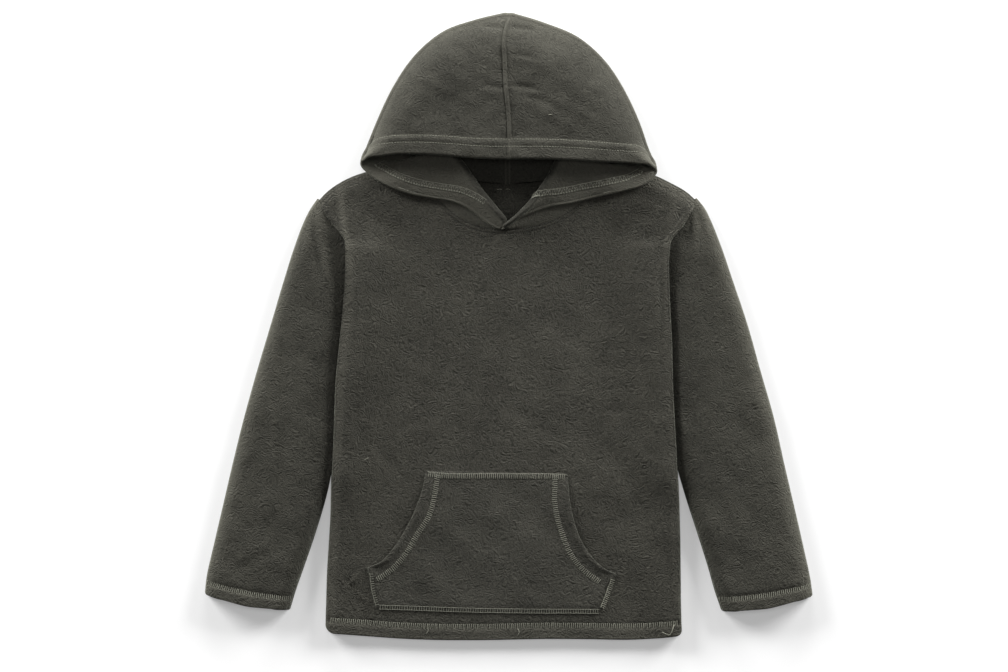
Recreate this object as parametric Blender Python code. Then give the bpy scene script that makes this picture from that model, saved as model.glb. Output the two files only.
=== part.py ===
"""A child's microfleece hooded jumper, laid flat on a table.

The garment lies on its back with the sleeves drawn down beside the body and the
hood opened out above the shoulders.  It is built from the seven pieces that are cut
and sewn: front, back, two sleeves, two hood halves and the kangaroo pocket.  Each
piece is the middle surface of its cloth, worked out from short tables of sizes and
then thickened to the cloth's wall.

Lengths in the tables are millimetres.  X runs across the garment, Y from the hem to
the hood, Z up from the table, and the origin is under the middle of the whole thing.
"""

import math

import bmesh
import bpy
import numpy as np

MM = 0.001

# ------------------------------------------------------------------ cloth sizes
WALL = 2.0                      # thickness of the fleece
AIR = 0.6                       # loose space between two layers
LAYER = WALL + AIR              # one layer resting on another
SEAM = 0.3                      # gap left between two pieces at a seam
FLOOR = WALL / 2                # mid height of cloth that lies on the table
REST = FLOOR + LAYER            # mid height of the front where it lies on the back
MIN_STEP = 0.4                  # shortest step of a path that turns round a fold
FOLD_STEPS = 3                  # steps in which a fold turns


def table(names, *rows):
    """Short table of sizes: one array for each named column."""
    return dict(zip(names.split(), np.array(rows, dtype=float).T))


# --------------------------------------------------------------------- body
# One row for each level across the body, hem to shoulder point.  "stack" is the mid
# height of the front at its edge, which bends down with "radius" through "turn"
# degrees and then runs on for "flap"; over the sleeve the flap goes back inwards to
# the armhole seam.  "back_turn" is how far the back's own edge turns up.
SIDE = table(
    "height left right stack radius turn flap back_turn",
    (-327.0, -194.6, 185.6, 6.6, 2.0, 90.0, 0.6, 90.0),
    (-300.0, -195.3, 184.8, 7.0, 2.2, 90.0, 0.6, 90.0),
    (-262.0, -194.2, 184.4, 7.2, 2.3, 90.0, 0.6, 90.0),
    (-228.0, -192.1, 182.6, 7.4, 2.4, 90.0, 0.6, 90.0),
    (-198.0, -190.4, 181.5, 7.8, 2.6, 90.0, 0.6, 90.0),
    (-182.0, -190.0, 181.4, 8.6, 2.0, 90.0, 0.6, 60.0),
    (-160.0, -189.0, 180.9, 9.8, 1.5, 90.0, 0.6, 0.0),
    (-127.0, -187.3, 179.4, 10.4, 1.5, 100.0, 0.6, 0.0),
    (-94.0, -186.1, 177.5, 11.0, 1.5, 110.0, 0.6, 0.0),
    (-57.0, -184.4, 175.8, 11.7, 1.5, 180.0, 4.0, 0.0),
    (-19.0, -180.8, 174.9, 12.4, 1.8, 180.0, 9.0, 0.0),
    (20.0, -177.0, 173.0, 12.8, 2.0, 180.0, 13.0, 0.0),
    (52.0, -174.5, 171.7, 12.6, 1.9, 180.0, 11.0, 0.0),
    (75.0, -174.0, 171.8, 12.0, 1.6, 180.0, 5.0, 0.0),
    (84.5, -174.2, 172.6, 11.5, 1.5, 130.0, 0.8, 0.0),
    (93.0, -174.9, 174.2, 9.6, 1.4, 60.0, 0.6, 0.0),
    (106.0, -184.0, 184.3, 7.2, 1.2, 15.0, 0.6, 0.0),
    (119.0, -194.2, 192.3, 5.4, 1.2, 0.0, 0.6, 0.0),
    (131.5, -202.4, 199.4, 4.4, 1.2, 0.0, 0.6, 0.0),
)
SLOPE_START = 3.0               # per mm of stack: how far the raised edge stays level
SLOPE_LENGTH = 46.0             # and over how far it then slopes down to the middle
HEM_DROP = 8.0                  # the hem hangs this much lower at its middle

# Shoulder fold, shoulder point to neck point.
SHOULDER = table(
    "left_x left_y right_x right_y",
    (-204.9, 134.8, 201.9, 135.6),
    (-194.0, 142.5, 190.5, 143.0),
    (-178.0, 153.2, 174.0, 152.2),
    (-155.7, 163.4, 155.7, 161.8),
    (-128.0, 169.6, 127.0, 168.4),
    (-99.0, 172.0, 97.0, 172.0),
)
SHOULDER_TOP = 4.2              # mid height of the front at the shoulder seam
SHOULDER_LAP = 2.0              # the back laps this far over on to the front
NECK_X = -1.0                   # middle of the neck
NECK_Y = 172.0
NECK_HALF = 98.0                # half width of the neckline
FRONT_DROP = 69.3               # depth of the front neckline, half an ellipse
BACK_DROP = 19.0                # depth of the back neckline, a shallow curve
# places along the neckline, 0 at the left neck point and 1 at the right one
NECK_PLACES = (0.09, 0.17, 0.27, 0.38, 0.5, 0.62, 0.73, 0.83, 0.91)
SHOULDER_PLACES = (0.0, 0.19, 0.42, 0.68, 1.0)
SIDE_REACH = 6                  # power with which a side's shape fades inwards

# ------------------------------------------------------------------- sleeves
# One row for each line across a sleeve, armhole to cuff.  "bulge" is the share of
# the armhole's curve that the line still follows, and "sag" is how far the middle
# of the line lies towards the cuff.
SLEEVE_COLUMNS = "outer_x outer_y inner_x inner_y bulge sag"
SLEEVE_LEFT = table(
    SLEEVE_COLUMNS,
    (-205.6, 134.0, -166.5, -4.0, 1.00, 0.0),
    (-211.0, 124.0, -167.2, -13.0, 0.80, 0.0),
    (-218.4, 112.6, -168.0, -23.0, 0.58, 0.0),
    (-228.2, 86.0, -169.0, -34.0, 0.32, 0.0),
    (-239.4, 52.0, -170.4, -47.0, 0.12, 0.0),
    (-253.3, 7.0, -172.6, -64.0, 0.00, 0.0),
    (-268.5, -44.0, -177.6, -92.0, 0.00, 0.0),
    (-283.5, -98.0, -185.0, -132.0, 0.00, 0.0),
    (-295.6, -147.0, -193.6, -176.0, 0.00, 0.0),
    (-306.5, -194.0, -206.4, -220.0, 0.00, 0.0),
    (-317.0, -239.0, -220.0, -260.0, 0.00, 0.5),
    (-323.4, -268.0, -229.0, -286.0, 0.00, 2.0),
    (-325.3, -286.5, -233.8, -302.5, 0.00, 4.0),
)
SLEEVE_RIGHT = table(
    SLEEVE_COLUMNS,
    (202.8, 134.6, 160.5, -4.0, 1.00, 0.0),
    (208.3, 124.4, 161.0, -13.0, 0.80, 0.0),
    (214.2, 112.6, 161.8, -23.0, 0.58, 0.0),
    (223.0, 87.0, 162.6, -34.0, 0.32, 0.0),
    (235.8, 50.0, 163.6, -47.0, 0.12, 0.0),
    (252.4, 6.0, 165.6, -64.0, 0.00, 0.0),
    (267.2, -43.5, 169.6, -92.0, 0.00, 0.0),
    (283.0, -96.0, 175.8, -132.0, 0.00, 0.0),
    (295.4, -146.5, 187.2, -174.0, 0.00, 0.0),
    (306.5, -194.0, 201.6, -219.0, 0.00, 0.0),
    (317.0, -240.0, 214.2, -259.0, 0.00, 0.5),
    (323.4, -270.0, 221.6, -285.0, 0.00, 2.0),
    (325.9, -287.5, 228.2, -304.0, 0.00, 4.0),
)
ARMHOLE_SHOWS = 93.0            # above this height the armhole seam lies open
ARMHOLE_GAP = 1.0
SLEEVE_TOP = 6.2                # mid height of a sleeve's upper layer
SLEEVE_PUFF = 0.5               # extra height along the middle of a sleeve
SLEEVE_DIP = 2.0                # how far it sinks where it leaves the body
DIP_PLACE = 13.0                # distance of that dip from the body's edge
DIP_WIDTH = 8.0
RAMP = 16.0                     # the under layer comes down to the table over this

# --------------------------------------------------------------------- hood
# Lapels, centre front to the corner of the hood's opening.  "rim" is the hemmed
# edge, "roll" the line where the cloth folds over, and "neck" the place along the
# front neckline, 0 at its lowest point and 1 at the neck point.
LAPEL_COLUMNS = "rim_x rim_y roll_x roll_y neck"
LAPEL_LEFT = table(
    LAPEL_COLUMNS,
    (-15.0, 103.8, -5.6, 108.0, 0.070),
    (-27.0, 112.8, -3.4, 117.0, 0.180),
    (-40.0, 126.4, -13.4, 130.6, 0.300),
    (-60.0, 133.4, -24.4, 144.6, 0.430),
    (-84.0, 137.8, -34.0, 158.6, 0.560),
    (-108.0, 143.6, -46.0, 177.0, 0.700),
    (-130.0, 152.4, -64.0, 190.0, 0.830),
    (-148.4, 164.4, -84.0, 188.0, 0.930),
    (-157.2, 175.6, -96.4, 174.6, 1.000),
)
LAPEL_RIGHT = table(
    LAPEL_COLUMNS,
    (0.4, 103.4, -4.4, 107.4, 0.050),
    (10.6, 107.8, -0.6, 114.4, 0.150),
    (21.4, 120.4, 12.0, 127.6, 0.270),
    (42.0, 127.6, 22.6, 138.4, 0.410),
    (68.0, 132.4, 32.4, 154.0, 0.550),
    (96.0, 137.4, 43.6, 170.6, 0.690),
    (121.4, 143.0, 59.0, 185.0, 0.820),
    (145.0, 151.6, 80.0, 187.0, 0.930),
    (157.6, 168.0, 94.4, 174.6, 1.000),
)
# Hood proper, from beside the corner to the centre seam: its upper lip, its
# outline, and the place along the back neckline, 1 at the neck point.
CROWN_COLUMNS = "lip_x lip_y out_x out_y neck"
CROWN_LEFT = table(
    CROWN_COLUMNS,
    (-150.0, 181.4, -156.8, 181.6, 0.985),
    (-137.0, 183.6, -150.6, 197.0, 0.930),
    (-120.0, 185.6, -140.6, 221.5, 0.840),
    (-101.0, 185.6, -124.4, 255.5, 0.720),
    (-79.0, 184.8, -100.6, 290.6, 0.570),
    (-54.0, 182.8, -70.6, 316.2, 0.390),
    (-27.0, 180.8, -37.0, 327.6, 0.190),
    (-0.5, 180.3, 0.0, 335.0, 0.000),
)
CROWN_RIGHT = table(
    CROWN_COLUMNS,
    (150.6, 173.4, 157.6, 173.6, 0.985),
    (137.0, 175.6, 150.6, 190.0, 0.930),
    (119.0, 176.6, 141.2, 217.0, 0.840),
    (99.0, 177.4, 126.0, 250.0, 0.720),
    (77.0, 178.8, 105.4, 282.4, 0.570),
    (52.0, 180.0, 76.0, 309.6, 0.390),
    (26.0, 180.4, 36.0, 326.6, 0.190),
    (-0.5, 180.3, 0.0, 335.0, 0.000),
)
SEAM_BOW = 4.5                  # the centre seam bows to the left by this much
LIP_CORNER = 9.6                # mid height of the lip beside the corner
LIP_TOP = 15.0                  # and at its middle
CROWN_FOLD = 2.8                # radius of the fold round the hood's outline
CROWN_PUFF = 1.6                # extra height over the middle of the hood
LAPEL_REST = LAYER              # the rim lies one layer above the front
ROLL_TOP = 8.5                  # mid height of the lapel at the roll line
ROLL_RADIUS = 2.3
NECK_INSET = 0.8                # the hood's front seam lies this far inside the front
NECK_CLEAR = 5.0                # and its back seam this far above a neck point
CORNER_RIM = 6.4                # mid heights at the ends of the corner rib
CORNER_NECK = 6.6
HEM_TURN = 1.2                  # short length that ends a rib with no leg of its own

# ------------------------------------------------------------------- pocket
# One row for each level up the pocket, bottom to top.
POCKET = table(
    "left_x left_y right_x right_y open",
    (-141.8, -301.6, 97.6, -306.6, 0.0),
    (-145.6, -288.0, 103.0, -293.4, 0.0),
    (-148.4, -273.0, 109.0, -278.4, 0.0),
    (-149.8, -257.2, 114.4, -264.3, 0.2),
    (-134.3, -250.0, 102.6, -257.4, 1.0),
    (-120.4, -234.0, 89.3, -243.6, 1.0),
    (-106.5, -211.4, 77.0, -223.0, 1.0),
    (-96.6, -189.4, 69.2, -199.0, 1.0),
    (-90.6, -171.0, 64.8, -176.0, 0.6),
    (-88.3, -154.2, 62.6, -157.2, 0.0),
)
POCKET_COLUMNS = 9
POCKET_BOW = 1.6                # the bottom edge dips by this much at its middle
POCKET_LIFT = 0.9               # the open edges stand this far off the front

FLEECE = (0.051, 0.048, 0.040)
FLEECE_POCKET = (0.053, 0.051, 0.043)


# ------------------------------------------------------------------- helpers
def smoothstep(low, high, value):
    """Soft step from 0 at low to 1 at high."""
    share = np.clip((value - low) / (high - low), 0.0, 1.0)
    return share * share * (3.0 - 2.0 * share)


def lerp(a, b, share):
    """Straight blend from a to b."""
    return a + (b - a) * share


def unit(vector):
    """Vector of length one along the last axis."""
    return vector / np.linalg.norm(vector, axis=-1, keepdims=True)


def along(points, share):
    """Points at the given shares of a polyline's length."""
    steps = np.linalg.norm(np.diff(points, axis=0), axis=1)
    length = np.concatenate(([0.0], np.cumsum(steps)))
    places = np.asarray(share) * length[-1]
    return np.stack([np.interp(places, length, points[:, k])
                     for k in range(points.shape[1])], axis=-1)


def fold_path(turn, radius):
    """Path that starts level and turns by so many degrees with the given radius.

    It goes in equal steps, none shorter than MIN_STEP, and returns how far it has
    gone outwards and how far round after each step.
    """
    bend = math.radians(turn) / FOLD_STEPS
    step = max(2.0 * radius * math.sin(bend / 2.0), MIN_STEP)
    heading = bend * (np.arange(FOLD_STEPS) + 0.5)
    out = np.concatenate(([0.0], np.cumsum(step * np.cos(heading))))
    over = np.concatenate(([0.0], np.cumsum(step * np.sin(heading))))
    return out, over


def level(height, name):
    """Value of one column of SIDE at a height on the body."""
    return np.interp(height, SIDE["height"], SIDE[name])


def front_height(x, y):
    """Mid height of the front: raised along its side edges, level in the middle."""
    inside = np.minimum(x - level(y, "left"), level(y, "right") - x)
    stack = level(y, "stack")
    start = np.maximum(SLOPE_START * (stack - 6.0), 2.0)
    raised = 1.0 - smoothstep(start, start + SLOPE_LENGTH, inside)
    shoulder = (SHOULDER_TOP - REST) * smoothstep(105.0, 150.0, y)
    middle = REST + shoulder
    return middle + np.maximum(stack - middle, 0.0) * raised * (1 - smoothstep(132, 160, y))


# -------------------------------------------------------------------- panels
def neckline(drop, power, places):
    """Points along half a neckline's full width, left neck point to right.

    The curve is drop deep: power 0.5 gives half an ellipse and power 1 a parabola.
    """
    x = -np.cos(math.pi * places)
    y = NECK_Y - drop * (1.0 - x * x) ** power
    return np.stack((NECK_X + NECK_HALF * x, y), axis=-1)


def top_edge(drop, power, inset):
    """Top boundary of a body panel: shoulder, neckline, shoulder.

    The shoulders lie inset below the shoulder fold.  Returns the points and, for
    each, 1 on a shoulder, 0 on the neckline and a half at a neck point.
    """
    left = along(np.stack((SHOULDER["left_x"], SHOULDER["left_y"]), axis=-1), SHOULDER_PLACES)
    right = along(np.stack((SHOULDER["right_x"], SHOULDER["right_y"]), axis=-1), SHOULDER_PLACES)
    left = left + np.array([inset * 0.45, -inset * 0.95])
    right = right + np.array([-inset * 0.45, -inset * 0.95])
    middle = neckline(drop, power, np.array(NECK_PLACES))
    points = np.concatenate((left, middle, right[::-1]))
    steps = len(SHOULDER_PLACES)
    shoulder = np.ones(len(points))
    shoulder[steps:-steps] = 0.0
    shoulder[[steps - 1, -steps]] = 0.5
    return points, shoulder


def fill(bottom, top, left, right):
    """Grid between four boundary curves that share their corners.

    Each row blends the bottom curve into the top one.  To this it adds how far each
    side curve lies from the straight line between its ends, fading inwards.
    """
    u = (top[:, 0] - top[0, 0]) / (top[-1, 0] - top[0, 0])
    v = (left[:, 1] - left[0, 1]) / (left[-1, 1] - left[0, 1])
    u = u[None, :, None]
    v = v[:, None, None]
    rows = (1 - v) * bottom[None] + v * top[None]
    off_left = left[:, None] - lerp(left[0], left[-1], v)
    off_right = right[:, None] - lerp(right[0], right[-1], v)
    return rows + off_left * (1 - u) ** SIDE_REACH + off_right * u ** SIDE_REACH


def body_panel(top, turn_name, height_of, sign, inset, lower):
    """Front or back: the grid inside its edges, then the edges turned over.

    sign is -1 where the edge turns down (front) and 1 where it turns up (back), and
    the shoulder point lies lower by so much.
    """
    heights = SIDE["height"].copy()
    heights[-1] -= lower
    count = len(SIDE["height"])
    paths = []
    for row in range(count):
        out, over = fold_path(SIDE[turn_name][row], SIDE["radius"][row])
        heading = math.radians(SIDE[turn_name][row])
        flap = (SIDE["flap"][row] * np.array((0.5, 1.0))) if sign < 0 else np.array([MIN_STEP])
        out = np.concatenate((out, out[-1] + flap * math.cos(heading)))
        over = np.concatenate((over, over[-1] + flap * math.sin(heading)))
        paths.append((out - out.max() - inset[row], over))
    out = np.array([path[0] for path in paths])
    over = np.array([path[1] for path in paths])
    left = np.stack((level(heights, "left") - out[:, 0], heights), axis=-1)
    right = np.stack((level(heights, "right") + out[:, 0], heights), axis=-1)
    top[0] = left[-1]
    top[-1] = right[-1]
    share = (top[:, 0] - top[0, 0]) / (top[-1, 0] - top[0, 0])
    bottom = lerp(left[0], right[0], share[:, None])
    bottom[:, 1] -= HEM_DROP * (1.0 - np.abs(2.0 * share - 1.0) ** 3)
    plan = fill(bottom, top, left, right)
    middle = np.dstack((plan, height_of(plan[..., 0], plan[..., 1])))
    side_left = np.empty((count, out.shape[1] - 1, 3))
    side_right = np.empty_like(side_left)
    for side, edge, hand in ((side_left, "left", -1.0), (side_right, "right", 1.0)):
        corner = middle[:, 0] if hand < 0 else middle[:, -1]
        side[..., 0] = corner[:, :1] + hand * (out[:, 1:] - out[:, :1])
        side[..., 1] = corner[:, 1:2]
        side[..., 2] = corner[:, 2:] + sign * over[:, 1:]
    return np.concatenate((side_left[:, ::-1], middle, side_right), axis=1)


def front_grid():
    """Front: rests on the back, rises to its edges and folds over the sleeves."""
    top, _ = top_edge(FRONT_DROP, 0.5, WALL / 2 + SHOULDER_LAP + 1.9)
    inset = (WALL / 2) * smoothstep(0.0, 90.0, SIDE["turn"])
    return body_panel(top, "turn", front_height, -1.0, inset, SHOULDER_LAP + 1.0)


def back_grid():
    """Back: flat on the table, its edges turned up and its shoulders lapped over."""
    radius = (SHOULDER_TOP - FLOOR) / 2.0
    top, shoulder = top_edge(BACK_DROP, 1.0, WALL / 2 + radius)
    inset = (WALL / 2) * smoothstep(0.0, 90.0, SIDE["back_turn"])
    flat = body_panel(top, "back_turn", lambda x, y: np.full_like(x, FLOOR), 1.0, inset, 0.0)
    # the rows over the shoulder, turned up by 180 degrees on a shoulder
    edge = flat[-1]
    sides = (flat.shape[1] - len(shoulder)) // 2
    shoulder = np.pad(shoulder, sides, mode="edge")
    inwards = -np.sign(edge[:, 0] - NECK_X)
    rows = []
    for step in range(1, FOLD_STEPS + 2):
        row = edge.copy()
        for k, share in enumerate(shoulder):
            out, over = fold_path(180.0 * share, radius if share else 0.0)
            heading = math.pi * share
            lap = lerp(MIN_STEP, SHOULDER_LAP, share)
            out = np.append(out, out[-1] + lap * math.cos(heading))
            over = np.append(over, over[-1] + lap * math.sin(heading))
            away = np.array([-inwards[k] * 0.43, 0.90]) if share else np.array([0.0, 1.0])
            back_off = 0.0 if share else out[-1] + SEAM
            row[k, :2] += away * (out[step] - back_off)
            row[k, 2] += over[step]
        rows.append(row)
    flat[-1, shoulder == 0.0, 1] -= (FOLD_STEPS + 1) * MIN_STEP + SEAM
    return np.concatenate((flat, np.array(rows)))


# ------------------------------------------------------------------- sleeves
def armhole(hand, tip, inner):
    """Armhole seam from the shoulder point to the underarm point.

    It follows the open seam, then the flap's end under the front's edge.
    """
    edge = "left" if hand < 0 else "right"
    rows = SIDE["height"] > ARMHOLE_SHOWS - 1.0
    shown = np.stack((SIDE[edge][rows] + hand * ARMHOLE_GAP, SIDE["height"][rows]), axis=-1)
    hidden_y = np.linspace(ARMHOLE_SHOWS, inner[1], 6)[1:]
    depth = abs(inner[0] - level(inner[1], edge))
    share = (ARMHOLE_SHOWS - hidden_y) / (ARMHOLE_SHOWS - inner[1])
    hidden = np.stack((level(hidden_y, edge) - hand * depth * np.sqrt(share), hidden_y), axis=-1)
    return np.concatenate(([tip], shown[-2::-1], hidden))


def side_normal(line, outwards):
    """Plan direction square to a line at each of its points, on the side of outwards."""
    run = np.gradient(line, axis=0)
    normal = unit(np.stack((-run[:, 1], run[:, 0]), axis=-1))
    return normal * np.sign(np.sum(normal * outwards, axis=1, keepdims=True))


def sleeve_grid(hand, rows):
    """Sleeve: a flattened tube of rings from the armhole to the cuff.

    Each ring runs along the under layer from the outer fold to the inner fold,
    round the fold, back along the upper layer and round the outer fold.
    """
    edge = "left" if hand < 0 else "right"
    outer = np.stack((rows["outer_x"], rows["outer_y"]), axis=-1)
    inner = np.stack((rows["inner_x"], rows["inner_y"]), axis=-1)
    seam = armhole(hand, outer[0], inner[0])
    steps = np.linalg.norm(np.diff(seam, axis=0), axis=1)
    across = np.concatenate(([0.0], np.cumsum(steps))) / steps.sum()
    away_out = side_normal(outer, outer - inner)
    away_in = side_normal(inner, inner - outer)
    bulge = seam - lerp(outer[0], inner[0], across[:, None])
    rings = []
    for k in range(len(outer)):
        inwards = unit(inner[k] - outer[k])
        start = outer[k] - inwards * (WALL / 2) / (inwards @ away_out[k])
        end = inner[k] - inwards * (WALL / 2) / (inwards @ away_in[k])
        line = lerp(start, end, across[:, None]) + rows["bulge"][k] * bulge
        sag = rows["sag"][k] * np.sin(math.pi * across)
        line[:, 1] -= sag
        away = hand * (line[:, 0] - level(line[:, 1], edge))
        zone = 1.0 - smoothstep(92.0, 110.0, line[:, 1])
        under = FLOOR + LAYER * zone * (1.0 - smoothstep(1.5, RAMP, away))
        dip = SLEEVE_DIP * zone * np.exp(-((away - DIP_PLACE) / DIP_WIDTH) ** 2)
        free = SLEEVE_TOP + SLEEVE_PUFF * np.sin(math.pi * across) - dip
        head = lerp(SHOULDER_TOP, SLEEVE_TOP, smoothstep(0.0, 0.45, across))
        upper = lerp(head, free, smoothstep(0.0, 4.0, float(k)))
        upper = np.maximum(upper, under + LAYER)
        rings.append(ring(line, under, upper, away_in[k], away_out[k]))
    return np.array(rings)


def ring(line, under, upper, away_in, away_out):
    """Closed ring round a flattened tube whose ends are half circles.

    away_in and away_out point straight out of the tube at its two folds.
    """
    turns = np.linspace(0.0, math.pi, FOLD_STEPS + 1)[1:-1]
    r_in = (upper[-1] - under[-1]) / 2
    r_out = (upper[0] - under[0]) / 2
    low = np.column_stack((line, under))
    high = np.column_stack((line, upper))
    for layer in (low, high):
        layer[-1, :2] -= away_in * r_in
        layer[0, :2] -= away_out * r_out
    inner_fold = np.column_stack((
        low[-1, :2] + np.outer(np.sin(turns) * r_in, away_in),
        low[-1, 2] + r_in * (1 - np.cos(turns))))
    outer_fold = np.column_stack((
        high[0, :2] + np.outer(np.sin(turns) * r_out, away_out),
        high[0, 2] - r_out * (1 - np.cos(turns))))
    return np.concatenate((low, inner_fold, high[::-1], outer_fold))


# ---------------------------------------------------------------------- hood
def rib(edge, fold, roll, seam, turns, radii):
    """One rib of the hood, from the edge of its opening to its far seam.

    edge, fold, roll and seam are points (x, y, z).  The middle leg runs from the
    fold to the roll.  At the fold the cloth turns up and back through turns[0]
    degrees to reach the edge, and at the roll it turns down and back through
    turns[1] to reach the seam.  A leg with no point of its own is a short end.
    """
    away = unit(fold[:2] - roll[:2])
    legs = []
    for point, turn, radius, way, rise, target in (
            (fold, turns[0], radii[0], away, 1.0, edge),
            (roll, turns[1], radii[1], -away, -1.0, seam)):
        out, over = fold_path(turn, radius)
        heading = math.radians(turn)
        tip = out[-1] + HEM_TURN * max(math.cos(heading), 0.0)
        inset = WALL / 2 * (1 - math.cos(heading)) / 2
        out = out - max(out.max(), tip) - inset
        bend = np.column_stack((point[:2] + np.outer(out, way), point[2] + rise * over))
        if target is None:
            target = bend[-1] + HEM_TURN * np.append(way * math.cos(heading),
                                                     rise * math.sin(heading))
        legs.append((bend, np.asarray(target)))
    (up, end_a), (down, end_c) = legs
    leg_a = lerp(end_a, up[-1], np.linspace(0.0, 1.0, 6)[:, None])
    leg_b = lerp(up[0], down[0], np.linspace(0.0, 1.0, 7)[:, None])
    leg_c = lerp(down[-1], end_c, np.linspace(0.0, 1.0, 4)[:, None])
    return np.concatenate((leg_a, up[-2:0:-1], leg_b, down[1:-1], leg_c))


def hood_grid(hand, lapel, crown):
    """Half of the hood: lapel ribs, the corner, then crown ribs to the centre seam."""
    ribs = []
    last = len(lapel["rim_x"]) - 1
    steps = 0.5 + hand * (np.array(NECK_PLACES[len(NECK_PLACES) // 2:] + (1.0,)) - 0.5)
    front_neck = neckline(FRONT_DROP, 0.5, steps)
    back_neck = neckline(BACK_DROP, 1.0, steps)
    for k in range(last):
        inset = NECK_INSET * (1.0 + smoothstep(0.5, 0.9, lapel["neck"][k]))
        neck = along(front_neck, lapel["neck"][k]) + np.array([-hand * inset, NECK_INSET])
        rim = np.array([lapel["rim_x"][k], lapel["rim_y"][k]])
        roll = np.array([lapel["roll_x"][k], lapel["roll_y"][k]])
        near = smoothstep(-1.0, 2.0, float(k))
        far = smoothstep(last - 3.0, last, float(k))
        radius = lerp(lerp(1.35, ROLL_RADIUS, near), 1.4, far)
        top = lerp(lerp(6.6, ROLL_TOP, near), 7.4, far)
        rim_z = float(front_height(*rim)) + LAPEL_REST
        neck_z = float(front_height(*neck))
        ribs.append(rib(None, np.append(rim, rim_z), np.append(roll, top),
                        np.append(neck, neck_z), (0.0, 180.0), (1.0, radius)))
    corner = np.array([lapel["rim_x"][last], lapel["rim_y"][last], CORNER_RIM])
    neck = np.array([lapel["roll_x"][last], lapel["roll_y"][last], CORNER_NECK])
    ribs.append(rib(None, corner, neck, None, (90.0, 90.0), (1.4, 1.1)))
    for k in range(len(crown["lip_x"])):
        neck = along(back_neck, crown["neck"][k]) + np.array([0.0, SEAM + 0.1])
        neck[1] += NECK_CLEAR * smoothstep(0.75, 0.98, crown["neck"][k])
        lip = np.array([crown["lip_x"][k], crown["lip_y"][k]])
        out = np.array([crown["out_x"][k], crown["out_y"][k]])
        rise = math.sqrt(max(1.0 - abs(lip[0] / 156.0) ** 5, 0.0))
        lip_z = lerp(LIP_CORNER, LIP_TOP, rise)
        grow = smoothstep(-1.5, 2.0, float(k))
        ribs.append(rib(np.append(lip, lip_z), np.append(out, FLOOR),
                        np.append(neck, FLOOR), None,
                        (180.0, 0.0), (lerp(2.2, CROWN_FOLD, grow), 1.0)))
    grid = np.array(ribs)
    # the crown is puffed, and its middle rib follows the bow of the centre seam
    first = last + 1
    leg = np.linspace(0.0, 1.0, 6)
    puff = np.sin(math.pi * leg)
    for k in range(len(crown["lip_x"])):
        reach = (k / (len(crown["lip_x"]) - 1)) ** 2
        grid[first + k, :6, 2] += CROWN_PUFF * puff * smoothstep(0.0, 3.0, float(k))
        grid[first + k, :6, 0] -= SEAM_BOW * puff * reach
    grid[-1, :, 0] += hand * SEAM
    return grid


# -------------------------------------------------------------------- pocket
def height_on(grid, plan):
    """Height of a grid's surface above each plan point.

    Each of the grid's quads is two triangles.  A point takes the height of the
    triangle that holds it, blended from the triangle's three corners.
    """
    a, b, c, d = grid[:-1, :-1], grid[:-1, 1:], grid[1:, 1:], grid[1:, :-1]
    corners = np.concatenate([np.stack(t, axis=-2).reshape(-1, 3, 3) for t in ((a, b, c), (a, c, d))])
    p = plan.reshape(-1, 1, 2)
    p0, p1, p2 = (corners[None, :, k, :2] for k in range(3))
    area = np.cross(p1 - p0, p2 - p0)
    w1 = np.cross(p - p0, p2 - p0) / area
    w2 = np.cross(p1 - p0, p - p0) / area
    w0 = 1.0 - w1 - w2
    best = np.argmax(np.minimum(np.minimum(w0, w1), w2), axis=1)
    pick = np.arange(len(best))
    z = corners[best, :, 2]
    height = w0[pick, best] * z[:, 0] + w1[pick, best] * z[:, 1] + w2[pick, best] * z[:, 2]
    return height.reshape(plan.shape[:-1])


def pocket_grid(front):
    """Pocket: follows the front one layer higher, its side openings lifted."""
    left = np.stack((POCKET["left_x"], POCKET["left_y"]), axis=-1)
    right = np.stack((POCKET["right_x"], POCKET["right_y"]), axis=-1)
    share = np.linspace(0.0, 1.0, POCKET_COLUMNS)
    plan = lerp(left[:, None], right[:, None], share[None, :, None])
    plan[0, :, 1] -= POCKET_BOW * np.sin(math.pi * share)
    open_side = np.abs(2.0 * share - 1.0) ** 4
    lift = POCKET_LIFT * POCKET["open"][:, None] * open_side[None, :]
    return np.dstack((plan, height_on(front, plan) + WALL + SEAM + lift))


# ------------------------------------------------------------------ building
def material(name, colour):
    """Matt fleece."""
    made = bpy.data.materials.new(name)
    made.use_nodes = True
    shader = made.node_tree.nodes["Principled BSDF"]
    shader.inputs["Base Color"].default_value = (*colour, 1.0)
    shader.inputs["Roughness"].default_value = 0.95
    shader.inputs["Metallic"].default_value = 0.0
    made.diffuse_color = (*colour, 1.0)
    return made


def face_normals(grid):
    """Unit normal of each quad of a grid, from its two diagonals."""
    across = grid[1:, 1:] - grid[:-1, :-1]
    down = grid[1:, :-1] - grid[:-1, 1:]
    return unit(np.cross(across, down) + 1e-12)


def shell(grid, tube):
    """Two copies of the grid, half a wall to either side of it.

    Each point moves along the mean of the normals of the quads that meet there, and
    a little further where they are bent, so that the wall keeps its thickness.
    """
    wide = np.concatenate((grid[:, -2:-1], grid, grid[:, 1:2]), axis=1) if tube else grid
    normals = face_normals(wide)
    pad = np.pad(normals, ((1, 1), (0, 0) if tube else (1, 1), (0, 0)), mode="edge")
    near = np.stack((pad[:-1, :-1], pad[:-1, 1:], pad[1:, :-1], pad[1:, 1:]))
    mean = near.mean(axis=0)
    length = np.linalg.norm(mean, axis=-1, keepdims=True)
    offset = mean / length / np.clip(length, 0.88, 1.0) * (WALL / 2)
    return grid + offset, grid - offset


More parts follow.
